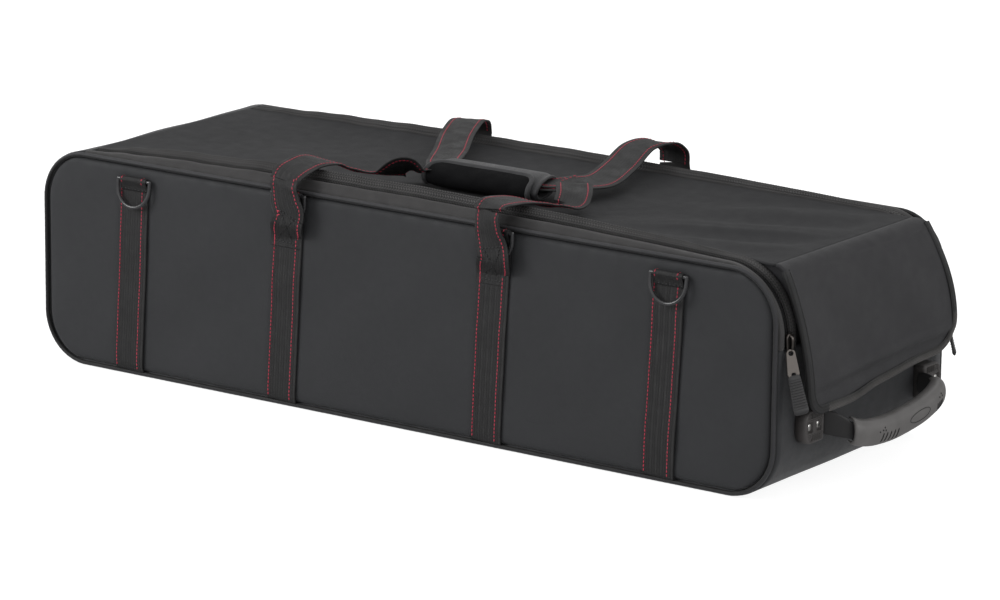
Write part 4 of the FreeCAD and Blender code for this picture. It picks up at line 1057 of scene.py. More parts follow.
def flap_binding():
    """Tape folded round the flap's free edge; the hem's stretch is of lighter twill."""
    line = flap_edge_line()
    edge = [flap_outer(share, across) for share, across in line]
    outs = [flap_line(share)[1] for share, across in line]
    points, metres, stitched, run = [], [], [], 0.0
    for index, place in enumerate(edge):
        after, before = edge[min(index + 1, len(edge) - 1)], edge[max(index - 1, 0)]
        inward = outs[index].cross((after - before).normalized()).normalized()
        if index:
            run += (place - edge[index - 1]).length
        loose = 1 + 0.08 * math.sin(run * 70)
        points.append([place + inward * inset + outs[index] * (lift * loose)
                       for inset, lift, width in HEM_SECTION])
        metres.append([(width, run) for inset, lift, width in HEM_SECTION])
        stitched.append((place + inward * 0.0070 + outs[index] * 0.0013, outs[index]))
    made = surface("flap_edge_tape", points, metres, EDGE_TAPE)
    made.data.materials.append(HEM_TAPE)
    for face in made.data.polygons:
        share, across = line[face.index // (len(HEM_SECTION) - 1)]
        face.material_index = int(share > 0.97 and across > -0.93)
    thicken(made, "weave", HEM_THICKNESS)
    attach(made, "flap")
    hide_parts("flap_binding")
    repeated("flap_edge_stitches", [stitched], "flap", "binding_tape", BLACK_THREAD,
             **SEAM_STITCH)


flap_binding()

# Straps: ribbed webbing sewn up each side panel with two lines of red thread. Each outer
# strap is folded over a D-ring's bar at its top, with a row of stitches under the fold.
WEB_HALF, WEB_THICK = 0.0195, 0.002
STRAP_STEPS, STITCHED_UNDER_TAIL = 90, 72
WEB_STITCH = 0.0143
STRAP_STITCHES = (-0.0171, 0.0116)
RED_STITCH = {"Pitch": 0.0042, "Long": 0.0037, "Wide": 0.0013, "High": 0.0009}
RING_BARS = (0.222, 0.236, 0.236, 0.222)
RING_BAR_OUT = 0.16858
TAB_RADIUS, TAB_HALF, TAB_THICK = 0.0029, 0.0180, 0.0014
TAB_STITCHES = (-0.0152, 0.0125)
WEB_COLOUR = (0.0185, 0.0183, 0.0190, 1.0)
RED_COLOUR = (0.43, 0.024, 0.055, 1.0)
WEBBING = tape_material("webbing", WEB_COLOUR, 0.0011, 0.0033, 0.8, 0.55, 0.00025, 0.8)
RED_THREAD = thread_material("red_thread", RED_COLOUR, 0.4)


def webbing(name, stations, body, half=WEB_HALF, thick=WEB_THICK):
    """A length of webbing along (centre, side, out) stations, its selvedges rounded."""
    flat = half - 0.0007
    high, low = (half - 0.0002, thick * 0.36), (half - 0.0002, -thick * 0.36)
    profile = [(-half, 0.0), (-high[0], high[1])]
    profile += [(share * flat, thick / 2 + 0.00012 * math.cos(9 * math.pi * share))
                for share in np.linspace(-1, 1, 13)]
    profile += [high, (half, 0.0), low]
    profile += [(share * flat, -thick / 2) for share in (1, 0.5, 0, -0.5, -1)]
    profile.append((-low[0], low[1]))
    width = [0.0]
    for first, second in zip(profile, profile[1:] + profile[:1]):
        width.append(width[-1] + math.dist(first, second))
    points, metres, run = [], [], 0.0
    for index, (centre, side, out) in enumerate(stations):
        if index:
            run += (centre - stations[index - 1][0]).length
        points.append([centre + side * across + out * lift for across, lift in profile])
        metres.append([(spot - half, run) for spot in width])
    made = surface(name, points, metres, WEBBING, closed=True)
    mend(made.data, fill=True)
    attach(made, body)
    return made, run


def red_rows(name, stations, body, thick=WEB_THICK, places=(-WEB_STITCH, WEB_STITCH), first=0,
             last=None):
    """Two rows of red stitches on the outer face of a length of webbing."""
    rows = []
    for across in places:
        rows.append([(centre + side * across + out * (thick / 2 + 0.0001), out)
                     for centre, side, out in stations[first:last]])
    repeated(name + "_stitches", rows, body, "webbing", RED_THREAD, **RED_STITCH)


def strap(side_name, outward, index):
    """One leaning strap from the foot of its panel to its D-ring's tab."""
    low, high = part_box(side_name + "_panel")
    face = low.y if outward < 0 else high.y
    lean = Vector((STRAP_TOPS[index] - STRAP_FEET[index], 0, high.z - low.z)).normalized()
    across, away = Vector((lean.z, 0, -lean.x)) * -outward, Vector((0, outward, 0))
    stations = []
    for height in np.linspace(low.z - 0.0006, RING_BARS[index] - 0.0045, STRAP_STEPS):
        x = strap_centre(index, height, low.z, high.z)
        out = panel_out(x, max(height, low.z + 0.002), low, high, high.x)
        loose = 0.0004 * math.sin(41 * height + 2 * index) + 0.0003 * math.sin(95 * height + index)
        out = max(out, 0.0006) + WEB_THICK / 2 + 0.0002 + max(loose, -0.0002)
        ease = max(min(1.0, (height - low.z) / 0.006), 0)
        out = out * ease + 0.0004 * (1 - ease)
        stations.append((Vector((x, face + outward * out, height)), across, away))
    name = "%s_strap_%d" % (side_name, index + 1)
    made, run = webbing(name, stations, "bag")
    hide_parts(side_name + "_straps")
    last = None if index in (0, 3) else STITCHED_UNDER_TAIL
    red_rows(name, stations, "bag", places=STRAP_STITCHES, first=2, last=last)


def ring_tab(side_name, outward, index):
    """The fold of webbing that holds a D-ring's bar."""
    bar, x = RING_BARS[index], STRAP_TOPS[index]
    path = [(0.16515, bar - 0.012), (0.16545, bar - 0.008), (0.16575, bar - 0.0035)]
    path += [(RING_BAR_OUT + TAB_RADIUS * math.cos(angle), bar + TAB_RADIUS * math.sin(angle))
             for angle in np.linspace(math.radians(200), math.radians(-35), 16)]
    path += [(0.16985, bar - 0.0042), (0.1687, bar - 0.0065), (0.16795, bar - 0.0090),
             (0.1678, bar - 0.0120)]
    stations = []
    for step, (across, height) in enumerate(path):
        centre = Vector((x + 0.0003 * math.sin(step), outward * across, height))
        from_bar = Vector((0, centre.y - outward * RING_BAR_OUT, height - bar))
        if from_bar.length < TAB_RADIUS * 1.2:
            out = from_bar.normalized()
        elif step > 3:
            out = Vector((0, outward, 0.15)).normalized()
        else:
            out = Vector((0, -outward, 0))
        stations.append((centre, Vector((-outward, 0, 0)), out))
    name = "%s_ring_tab_%d" % (side_name, index + 1)
    made, run = webbing(name, stations, "bag", half=TAB_HALF, thick=TAB_THICK)
    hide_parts(side_name + "_ring_tabs")
    red_rows(name, stations, "bag", thick=TAB_THICK, places=TAB_STITCHES, first=8, last=-4)
    seam = [(Vector((x + across, outward * 0.16865, bar - 0.0103)), Vector((0, outward, 0)))
            for across in np.linspace(-0.0165, 0.0165, 12)]
    repeated(name + "_seam", [seam], "bag", "webbing", BLACK_THREAD, **RED_STITCH)


for side_name, outward in SIDES:
    for index in range(len(STRAP_TOPS)):
        strap(side_name, outward, index)
        ring_tab(side_name, outward, index)

# Handle tails: webbing sewn flat over the strap, then free in front of its D-ring, up to
# the fold where the carry handle's loop begins. A crossed box of red thread holds each one.
TAIL_LINE = ((0.1660, 0.1770), (0.1664, 0.1860), (0.1695, 0.1930), (0.1770, 0.2005),
             (0.1777, 0.2105), (0.1776, 0.2190), (0.1783, 0.2280), (0.1788, 0.2400))
HANDLE_PLACES = (-0.135, 0.137)
TAIL_STEPS, TAIL_SPREAD, TAIL_FREE = 44, 0.17, 0.186
BOX_FOOT, BOX_HEAD, BOX_HALF = 3, 18, WEB_STITCH - 0.003
FRONT_TAILS = (
    (((-0.1263, -0.1660, 0.1770), (-0.1244, -0.1664, 0.1890), (-0.1146, -0.1775, 0.2030),
      (-0.1126, -0.1777, 0.2134), (-0.1110, -0.1777, 0.2190), (-0.1155, -0.1784, 0.2278),
      (-0.1189, -0.1795, 0.2388), (-0.1194, -0.1810, 0.2450), (-0.1196, -0.1795, 0.2497)),
     ((-0.1549, -0.1660, 0.1770), (-0.1545, -0.1664, 0.1890), (-0.1450, -0.1775, 0.2030),
      (-0.1424, -0.1777, 0.2134), (-0.1415, -0.1777, 0.2190), (-0.1446, -0.1776, 0.2278),
      (-0.1459, -0.1770, 0.2388), (-0.1472, -0.1765, 0.2490), (-0.1482, -0.1735, 0.2567))),
    (((0.1452, -0.1660, 0.1770), (0.1462, -0.1664, 0.1895), (0.1560, -0.1775, 0.2045),
      (0.1530, -0.1778, 0.2214), (0.1499, -0.1810, 0.2345), (0.1494, -0.1840, 0.2450),
      (0.1485, -0.1850, 0.2530), (0.1508, -0.1840, 0.2589)),
     ((0.1172, -0.1660, 0.1770), (0.1183, -0.1664, 0.1895), (0.1276, -0.1775, 0.2045),
      (0.1260, -0.1778, 0.2214), (0.1231, -0.1768, 0.2315), (0.1225, -0.1772, 0.2400),
      (0.1228, -0.1772, 0.2510), (0.1223, -0.1755, 0.2600))))
REAR_TOPS = (((-0.1180, 0.1790, 0.2480), (-0.1570, 0.1750, 0.2480)),
             ((0.1475, 0.1790, 0.2470), (0.1085, 0.1790, 0.2470)))


def smooth_path(points, count):
    """Points on a smooth curve through given points."""
    points = [Vector(point) for point in points]
    curve, last = [], len(points) - 1
    for step in range(count):
        place = step / (count - 1) * last
        index = min(int(place), last - 1)
        share = place - index
        four = [points[max(index - 1, 0)], points[index], points[index + 1],
                points[min(index + 2, last)]]
        weights = (((-0.5 * share + 1) * share - 0.5) * share,
                   (1.5 * share - 2.5) * share * share + 1,
                   ((-1.5 * share + 2) * share + 0.5) * share,
                   (0.5 * share - 0.5) * share * share)
        curve.append(sum((point * weight for point, weight in zip(four, weights)), Vector()))
    return curve


def between_edges(right, left, count, up=Vector((0, 0, 1))):
    """Stations for webbing whose right and left edges pass near given points."""
    rights, lefts = smooth_path(right, count), smooth_path(left, count)
    middles = [(one + other) / 2 for one, other in zip(rights, lefts)]
    stations, out = [], up
    for index, middle in enumerate(middles):
        way = (middles[min(index + 1, count - 1)] - middles[max(index - 1, 0)]).normalized()
        side = (lefts[index] - rights[index]).normalized()
        side = (side - way * side.dot(way)).normalized()
        normal = way.cross(side)
        out = normal if normal.dot(out) > 0 else -normal
        stations.append((middle, side, out))
    return stations


def tail_edges(outward, x, number):
    """A tail's right and left edges: outside its stitches in front, straight at the rear."""
    if outward < 0:
        edges = [[Vector(point) for point in line] for line in FRONT_TAILS[number]]
        spread = [(one - other) * TAIL_SPREAD for one, other in zip(*edges)]
        return ([point + more for point, more in zip(edges[0], spread)],
                [point - more for point, more in zip(edges[1], spread)])
    edges = []
    for way, top in zip((WEB_HALF, -WEB_HALF), REAR_TOPS[number]):
        line = []
        for across, height in TAIL_LINE:
            share = max(0.0, (height - TAIL_FREE) / (top[2] - TAIL_FREE))
            line.append(Vector((x + way + (top[0] - x - way) * share, across, height)))
        edges.append(line + [Vector(top)])
    return edges


def tail(side_name, outward, x, number):
    """One tail with its two rows of red thread and its crossed box."""
    right, left = tail_edges(outward, x, number)
    stations = between_edges(right, left, TAIL_STEPS, Vector((0, outward, 0)))
    name = "%s_handle_tail_%d" % (side_name, number + 1)
    made, run = webbing(name, stations, "bag")
    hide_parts(side_name + "_handle_tails")
    red_rows(name, stations, "bag", first=2)
    box = []
    for start, end, way in ((BOX_FOOT, BOX_FOOT, 1), (BOX_HEAD, BOX_HEAD, 1),
                            (BOX_FOOT, BOX_HEAD, 1), (BOX_FOOT, BOX_HEAD, -1)):
        line = []
        for share in np.linspace(0, 1, 12):
            centre, side, out = stations[round(start + (end - start) * share)]
            across = way * (2 * BOX_HALF * share - BOX_HALF)
            line.append((centre + side * across + out * (WEB_THICK / 2 + 0.0002), out))
        box.append(line)
    repeated(name + "_box", box, "bag", "webbing", BLACK_THREAD, **RED_STITCH)


for side_name, outward in SIDES:
    for number, x in enumerate(HANDLE_PLACES):
        tail(side_name, outward, x, number)

# Carry handles: a loop of webbing on each side, from fold to fold through the padded wrap.
# The legs lie slack over the lid, twist on edge and turn into the wrap's ends.
FRONT_LEFT = (((-0.1150, -0.1800, 0.2480), (-0.1135, -0.1725, 0.2555), (-0.1150, -0.1570, 0.2610),
               (-0.1170, -0.1350, 0.2650), (-0.1100, -0.1180, 0.2650), (-0.1000, -0.1080, 0.2595),
               (-0.0800, -0.0940, 0.2550), (-0.0600, -0.0810, 0.2700), (-0.0480, -0.0680, 0.2590),
               (-0.0330, -0.0520, 0.2520), (-0.0150, -0.0490, 0.2515)),
              ((-0.1525, -0.1735, 0.2585), (-0.1520, -0.1670, 0.2655), (-0.1500, -0.1500, 0.2690),
               (-0.1450, -0.1230, 0.2695), (-0.1340, -0.0900, 0.2570), (-0.1130, -0.0720, 0.2470),
               (-0.0850, -0.0570, 0.2460), (-0.0560, -0.0500, 0.2480), (-0.0420, -0.0320, 0.2480),
               (-0.0270, -0.0140, 0.2515), (-0.0150, -0.0110, 0.2515)))
FRONT_RIGHT = (((0.1555, -0.1835, 0.2600), (0.1545, -0.1740, 0.2640), (0.1540, -0.1580, 0.2640),
                (0.1545, -0.1380, 0.2625), (0.1610, -0.1200, 0.2605), (0.1690, -0.1000, 0.2550),
                (0.1770, -0.0820, 0.2520), (0.1810, -0.0640, 0.2530), (0.1710, -0.0440, 0.2590),
                (0.1590, -0.0225, 0.2620)),
               ((0.1175, -0.1745, 0.2620), (0.1180, -0.1670, 0.2665), (0.1185, -0.1510, 0.2665),
                (0.1220, -0.1180, 0.2610), (0.1370, -0.0920, 0.2510), (0.1410, -0.0860, 0.2480),
                (0.1460, -0.0830, 0.2480), (0.1490, -0.0810, 0.2500), (0.1440, -0.0660, 0.2580),
                (0.1250, -0.0440, 0.2630)))
FRONT_FOLD = (((0.1560, -0.0225, 0.2570), (0.1350, -0.0380, 0.2545), (0.1050, -0.0490, 0.2530),
               (0.0800, -0.0490, 0.2515)),
              ((0.1080, -0.0030, 0.2615), (0.1040, -0.0060, 0.2570), (0.0950, -0.0100, 0.2540),
               (0.0800, -0.0100, 0.2515)))
REAR_LEFT = (((-0.1180, 0.1790, 0.2480), (-0.1150, 0.1740, 0.2570), (-0.1090, 0.1640, 0.2640),
              (-0.1035, 0.1460, 0.2665), (-0.0850, 0.1010, 0.2620), (-0.0610, 0.0560, 0.2575),
              (-0.0390, 0.0080, 0.2570), (-0.0150, -0.0110, 0.2560)),
             ((-0.1570, 0.1750, 0.2480), (-0.1540, 0.1660, 0.2580), (-0.1470, 0.1460, 0.2650),
              (-0.1385, 0.1220, 0.2665), (-0.1160, 0.0770, 0.2620), (-0.0860, 0.0260, 0.2570),
              (-0.0510, -0.0300, 0.2545), (-0.0150, -0.0490, 0.2560)))
REAR_RIGHT = (((0.1475, 0.1790, 0.2470), (0.1470, 0.1780, 0.2600), (0.1400, 0.1680, 0.2700),
               (0.1290, 0.1420, 0.2700), (0.1400, 0.0900, 0.2580), (0.1500, 0.0330, 0.2510),
               (0.1400, -0.0060, 0.2530), (0.1150, -0.0400, 0.2560), (0.0850, -0.0490, 0.2560)),
              ((0.1085, 0.1790, 0.2470), (0.1080, 0.1760, 0.2620), (0.1030, 0.1560, 0.2715),
               (0.0930, 0.1280, 0.2700), (0.1050, 0.0720, 0.2610), (0.1150, 0.0300, 0.2570),
               (0.1130, 0.0080, 0.2580), (0.1000, -0.0060, 0.2570), (0.0850, -0.0110, 0.2560)))


def handle_web(name, right, left, count, body, node):
    """One run of a loop, stitched in red on both faces."""
    stations = between_edges(right, left, count)
    made, run = webbing(name, stations, body)
    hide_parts(node)
    red_rows(name, stations, body, first=1, last=-1)
    under = [(centre, side, -out) for centre, side, out in stations]
    red_rows(name + "_under", under, body, first=1, last=-1)


handle_web("front_handle_left", *FRONT_LEFT, 90, "front_carry_handle", "front_handle")
handle_web("front_handle_right", *FRONT_RIGHT, 90, "front_carry_handle", "front_handle")
handle_web("front_handle_fold", *FRONT_FOLD, 30, "front_carry_handle", "front_handle")
handle_web("rear_handle_left", *REAR_LEFT, 70, "rear_carry_handle", "rear_handle")
handle_web("rear_handle_right", *REAR_RIGHT, 80, "rear_carry_handle", "rear_handle")

# Wrap: a padded sleeve of the case's cloth round both webs, swollen by simulation. A black
# flap is folded over its front, bound at its edge and rounded at its corners.
WRAP_MIDDLE = (0.0365, -0.0300, 0.2525)
WRAP_HALF_LENGTH, WRAP_HALF_WIDTH, WRAP_HALF_HEIGHT = 0.0685, 0.0295, 0.0118
WRAP_ROWS, WRAP_RING = 54, 72
WRAP_SHEAR, WRAP_SLOPE = 0.40, 0.07
WRAP_SWELL, WRAP_THICKNESS = 0.0035, 0.0034
WRAP_HELD_ROWS = (0, 1, 3, WRAP_ROWS - 4, WRAP_ROWS - 2, WRAP_ROWS - 1)
PATCH_START, PATCH_END = 0.02, 0.93
PATCH_DEEP, PATCH_WIDE = 0.046, (PATCH_END - PATCH_START) * 2 * WRAP_HALF_LENGTH
PATCH_ROUND, PATCH_GRID = 0.013, (40, 56)
BINDING_RING = 12
WRAP_TOP_TURN, WRAP_FOOT_TURN = math.radians(104), math.radians(214)
WRAP_CLOTH = cloth_material("wrap_cloth", (0.024, 0.024, 0.026, 1.0), CLOTH_THREAD, 0.6,
                            0.00008, 0.12)
WRAP_LINING = cloth_material("wrap_lining", (0.0040, 0.0040, 0.0046, 1.0), 0.0007, 0.85,
                             0.00010, 0.0, 0.5, 0.10)


def wrap_point(share, turn):
    """A point of the sleeve: share along it, turn round it from its rear edge over the top."""
    along = (share - 0.5) * 2
    pinch = 1 - 0.10 * abs(along) ** 6
    across = math.copysign(abs(math.cos(turn)) ** 0.85, math.cos(turn))
    height = math.copysign(abs(math.sin(turn)) ** 0.9, math.sin(turn))
    across *= WRAP_HALF_WIDTH * pinch
    height *= WRAP_HALF_HEIGHT
    x = WRAP_MIDDLE[0] + along * WRAP_HALF_LENGTH - WRAP_SHEAR * across * (along - 0.15) * 0.6
    dent = -0.0016 * math.exp(-((along - 0.93) / 0.06) ** 2) * (math.sin(turn) > 0)
    return Vector((x, WRAP_MIDDLE[1] + across, WRAP_MIDDLE[2] + height + dent
                   + WRAP_SLOPE * across))


def swollen(obj, pinned, cap):
    """Lets a padded shell swell under a little pressure, its pinned points held."""
    obj.vertex_groups.new(name="held").add(pinned, 1.0, "REPLACE")
    cloth = obj.modifiers.new("cloth", "CLOTH")
    settings = cloth.settings
    settings.use_pressure = True
    settings.uniform_pressure_force = 4.0
    settings.effector_weights.gravity = 0.0
    settings.vertex_group_mass = "held"
    settings.tension_stiffness = settings.compression_stiffness = 12.0
    for frame_number in range(1, 21):
        scene.frame_set(frame_number)
    shaped = obj.evaluated_get(bpy.context.evaluated_depsgraph_get())
    ends = [vertex.co.copy() for vertex in shaped.data.vertices]
    obj.modifiers.remove(cloth)
    scene.frame_set(1)
    for vertex, end in zip(obj.data.vertices, ends):
        move = end - vertex.co
        if move.length > cap:
            move *= cap / move.length
        vertex.co += move


def wrap_sleeve():
    """The padded sleeve; gives back its swollen outer points, row by row."""
    points, metres = [], []
    around = 2 * math.pi * (WRAP_HALF_WIDTH + WRAP_HALF_HEIGHT) * 0.75
    for row in range(WRAP_ROWS):
        share = row / (WRAP_ROWS - 1)
        points.append([wrap_point(share, 2 * math.pi * step / WRAP_RING)
                       for step in range(WRAP_RING)])
        metres.append([(step / WRAP_RING * around, share * 2 * WRAP_HALF_LENGTH)
                       for step in range(WRAP_RING + 1)])
    sleeve = surface("grip_sleeve", points, metres, WRAP_CLOTH, closed=True)
    swollen(sleeve, [row * WRAP_RING + step for row in WRAP_HELD_ROWS
                     for step in range(WRAP_RING)], WRAP_SWELL)
    shape = [[sleeve.data.vertices[row * WRAP_RING + step].co.copy()
              for step in range(WRAP_RING)] for row in range(WRAP_ROWS)]
    thicken(sleeve, "padding", WRAP_THICKNESS)
    smooth = sleeve.modifiers.new("soft", "SUBSURF")
    smooth.levels = smooth.render_levels = 1
    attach(sleeve, "front_carry_handle")
    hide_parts("grip_wrap")
    return shape


def on_sleeve(shape, share, turn, lift):
    """A place a little above the sleeve, between its nearest points."""
    row = min(max(share, 0.0), 1.0) * (WRAP_ROWS - 1)
    step = (turn / (2 * math.pi) % 1.0) * WRAP_RING
    low_row, low_step = min(int(row), WRAP_ROWS - 2), int(step) % WRAP_RING
    next_step = (low_step + 1) % WRAP_RING
    a, b = row - low_row, step - int(step)
    near, far = shape[low_row], shape[low_row + 1]
    place = ((near[low_step] * (1 - b) + near[next_step] * b) * (1 - a)
             + (far[low_step] * (1 - b) + far[next_step] * b) * a)
    normal = (far[low_step] - near[low_step]).cross(near[next_step] - near[low_step])
    centre = Vector((place.x, WRAP_MIDDLE[1], WRAP_MIDDLE[2]))
    normal = normal.normalized() if normal.dot(place - centre) > 0 else -normal.normalized()
    return place + normal * lift


def wrap_flap(shape):
    """The flap's patch over the sleeve, with two round upper corners; gives its points."""
    points, metres = [], []
    for row in np.linspace(0, 1, PATCH_GRID[0]):
        down = row * PATCH_DEEP
        into = max(PATCH_ROUND - down, 0.0)
        reach = PATCH_WIDE / 2 - (PATCH_ROUND - math.sqrt(max(PATCH_ROUND ** 2 - into ** 2, 0.0)))
        turn = WRAP_TOP_TURN + (WRAP_FOOT_TURN - WRAP_TOP_TURN) * row
        line, flat = [], []
        for column in np.linspace(-1, 1, PATCH_GRID[1]):
            along = column * reach
            share = PATCH_START + (along + PATCH_WIDE / 2) / (2 * WRAP_HALF_LENGTH)
            edge = min(reach - abs(along), down)
            lift = 0.0010 + 0.0016 * (1 - math.exp(-edge / 0.007))
            lift += 0.0005 * math.sin(90 * along) * math.sin(130 * down)
            line.append(on_sleeve(shape, share, turn, lift))
            flat.append((along, down))
        points.append(line)
        metres.append(flat)
    patch = surface("grip_flap", points, metres, WRAP_LINING)
    bm = bmesh.new()
    bm.from_mesh(patch.data)
    bmesh.ops.recalc_face_normals(bm, faces=bm.faces)
    if sum(face.normal.z * face.calc_area() for face in bm.faces) < 0:
        bmesh.ops.reverse_faces(bm, faces=bm.faces)
    bm.to_mesh(patch.data)
    bm.free()
    thicken(patch, "padding", 0.0016, -0.6)
    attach(patch, "front_carry_handle")
    return points


def wrap_flap_edge(points):
    """The padded border along the flap's two ends and its upper edge."""
    edge = [line[0] for line in points][::-1] + points[0][1:-1] + [line[-1] for line in points]
    tube, metres, run = [], [], 0.0
    for index, place in enumerate(edge):
        way = (edge[min(index + 1, len(edge) - 1)] - edge[max(index - 1, 0)]).normalized()
        out = place - Vector((place.x, WRAP_MIDDLE[1], WRAP_MIDDLE[2] - 0.004))
        out = out.normalized()
        out = (out - way * out.dot(way)).normalized()
        side = way.cross(out)
        if index:
            run += (place - edge[index - 1]).length
        tube.append([place + out * (0.0006 + 0.0019 * math.sin(turn))
                     + side * 0.0032 * math.cos(turn)
                     for turn in np.linspace(0, 2 * math.pi, BINDING_RING, endpoint=False)])
        metres.append([(0.0012 * turn, run)
                       for turn in np.linspace(0, 2 * math.pi, BINDING_RING + 1)])
    binding = surface("grip_flap_edge", tube, metres, WRAP_CLOTH, closed=True)
    mend(binding.data, fill=True)
    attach(binding, "front_carry_handle")


wrap_flap_edge(wrap_flap(wrap_sleeve()))

# Haul brackets: moulded plates riveted to the haul end, square towards the handle and round
# on their far side, with ribbed rows above and below two windows for their rivets.
HAUL_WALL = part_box("haul_end_panel")[1].x
BRACKET_LOW, BRACKET_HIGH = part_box("front_haul_bracket")
BRACKET_HALF = (BRACKET_HIGH.y - BRACKET_LOW.y) / 2
BRACKET_DEEP = BRACKET_HIGH.x - BRACKET_LOW.x - 0.0004
HAUL_HEIGHT = (BRACKET_HIGH.z + BRACKET_LOW.z) / 2
HAUL_PLACES = ((BRACKET_LOW.y + BRACKET_HIGH.y) / 2, sum(
    corner.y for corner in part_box("rear_haul_bracket")) / 2)
RIVET_SPACE = 0.0095
WINDOW_HALF, WINDOW_DEEP, WINDOW_SQUEEZE = (0.0046, 0.0056), 0.0030, 0.86
RIB_DEEP, RIB_PITCH, RIB_EDGE = 0.0034, 0.0042, 0.00025
RIB_ROW, RIB_ROW_HALF, RIB_HALF = 0.0121, 0.0032, 0.0122
GROOVE_PLACE, GROOVE_DEEP, GROOVE_WIDTH = (0.0148, 0.0076), 0.0011, 0.00045
PLATE_SIDE_STEPS, PLATE_CORNER_STEPS = 90, 9


def moulded_material(name, colour, roughness, grain, depth, gloss=0.5):
    """Moulded plastic: a fine pebbled skin, dull where it is rubbed, dusty in soft patches."""
    made, tree, shader = finish_material(name)
    where = tree.nodes.new("ShaderNodeTexCoord").outputs["Object"]
    patches = noise(tree, where, 55.0, 5.0)
    toned(tree, shader, colour, 0.72, 1.28, patches)
    spread = math_node(tree, "MULTIPLY", math_node(tree, "SUBTRACT", patches, 0.5), 0.45)
    tree.links.new(math_node(tree, "ADD", spread, roughness), shader.inputs["Roughness"])
    bumped(tree, shader, noise(tree, where, 1 / grain), 0.6, depth)
    shader.inputs["Specular IOR Level"].default_value = gloss
    return made


def metal_material(name, colour, roughness, depth):
    """Plated metal, finely brushed, with handled spots that are duller."""
    made, tree, shader = finish_material(name)
    rub = noise(tree, tree.nodes.new("ShaderNodeTexCoord").outputs["Object"], 260.0, 5.0)
    toned(tree, shader, colour, 0.75, 1.15, rub)
    tree.links.new(math_node(tree, "ADD", math_node(tree, "MULTIPLY", rub, 0.3),
                             roughness - 0.15), shader.inputs["Roughness"])
    bumped(tree, shader, rub, 0.3, depth)
    shader.inputs["Metallic"].default_value = 1.0
    return made


BRACKET_BLACK = moulded_material("bracket_black", (0.048, 0.044, 0.043, 1.0), 0.50, 0.0009,
                                 0.00008)
STEEL = metal_material("rivet_steel", (0.66, 0.65, 0.63, 1.0), 0.28, 0.00002)


def rounded_loop(half, radii, inset):
    """A square with its own radius at each corner, set in by a distance, as a closed loop."""
    size = max(half - inset, 0.0)

    def corner(turn):
        radius = min(max(radii[turn % 4] - inset, 0.0002), size)
        way = math.pi / 2 * turn + math.pi / 4
        return radius, Vector((math.copysign(size - radius, math.cos(way)),
                               math.copysign(size - radius, math.sin(way))))

    loop = []
    for turn in range(4):
        radius, centre = corner(turn)
        for step in range(PLATE_CORNER_STEPS):
            angle = math.pi / 2 * (turn + step / (PLATE_CORNER_STEPS - 1))
            loop.append(centre + Vector((math.cos(angle), math.sin(angle))) * radius)
        after, centre = corner(turn + 1)
        angle = math.pi / 2 * (turn + 1)
        end = centre + Vector((math.cos(angle), math.sin(angle))) * after
        first = loop[-1]
        loop += [first + (end - first) * share
                 for share in np.linspace(0, 1, PLATE_SIDE_STEPS + 2)[1:-1]]
    return loop


def bracket_relief(along, high):
    """Depth of ribs, windows and the engraved frame below a bracket's face."""
    row = 1 / (1 + math.exp((abs(abs(high) - RIB_ROW) - RIB_ROW_HALF) / RIB_EDGE))
    row *= 1 / (1 + math.exp((abs(along + 0.0005) - RIB_HALF) / RIB_EDGE))
    wave = 0.5 - 0.5 * math.cos(2 * math.pi * (along + 0.15 * high) / RIB_PITCH)
    deep = RIB_DEEP * row * wave ** 0.8
    for place in (-RIVET_SPACE, RIVET_SPACE):
        inside = max(abs(along - place * WINDOW_SQUEEZE) - WINDOW_HALF[0],
                     abs(high) - WINDOW_HALF[1])
        deep = max(deep, WINDOW_DEEP / (1 + math.exp(inside / 0.00018)))
    border = max(abs(along) - GROOVE_PLACE[0], abs(high) - GROOVE_PLACE[1])
    return max(deep, GROOVE_DEEP * math.exp(-(border / GROOVE_WIDTH) ** 2))


def haul_bracket(node, place, outward):
    """One plate: loops from its foot over its rounded rim to the middle of its face."""
    points = []
    radii = (0.0125, 0.0030, 0.0030, 0.0125)
    rim = [(0.0, -0.0004 - BRACKET_DEEP), (0.0, -0.0030), (0.0004, -0.0017), (0.0011, -0.0008),
           (0.0020, -0.0002)]
    for inset, drop in rim + [(inset, None)
                              for inset in np.linspace(0.0027, BRACKET_HALF - 0.0001, 42)]:
        points.append([(HAUL_WALL + BRACKET_DEEP
                        + (-bracket_relief(spot.x, spot.y) if drop is None else drop),
                        place + outward * spot.x, HAUL_HEIGHT + spot.y)
                       for spot in rounded_loop(BRACKET_HALF, radii, inset)])
    metres = [[(0.0, 0.0)] * (len(points[0]) + 1) for _ in points]
    made = surface(node + "_plate", points, metres, BRACKET_BLACK, closed=True)
    mend(made.data, weld=1e-7, fill=True)
    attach(made, "bag")
    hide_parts(node)


haul_bracket("front_haul_bracket", HAUL_PLACES[0], -1)
haul_bracket("rear_haul_bracket", HAUL_PLACES[1], 1)

# Haul rivets: steel, two through each bracket, the wall and the board behind it, with domed
# heads that show in the bracket's windows and flat ones inside.
RIVET_RADIUS, RIVET_HEAD = 0.0020, 0.0040
RIVET_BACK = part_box("haul_rivets")[0].x


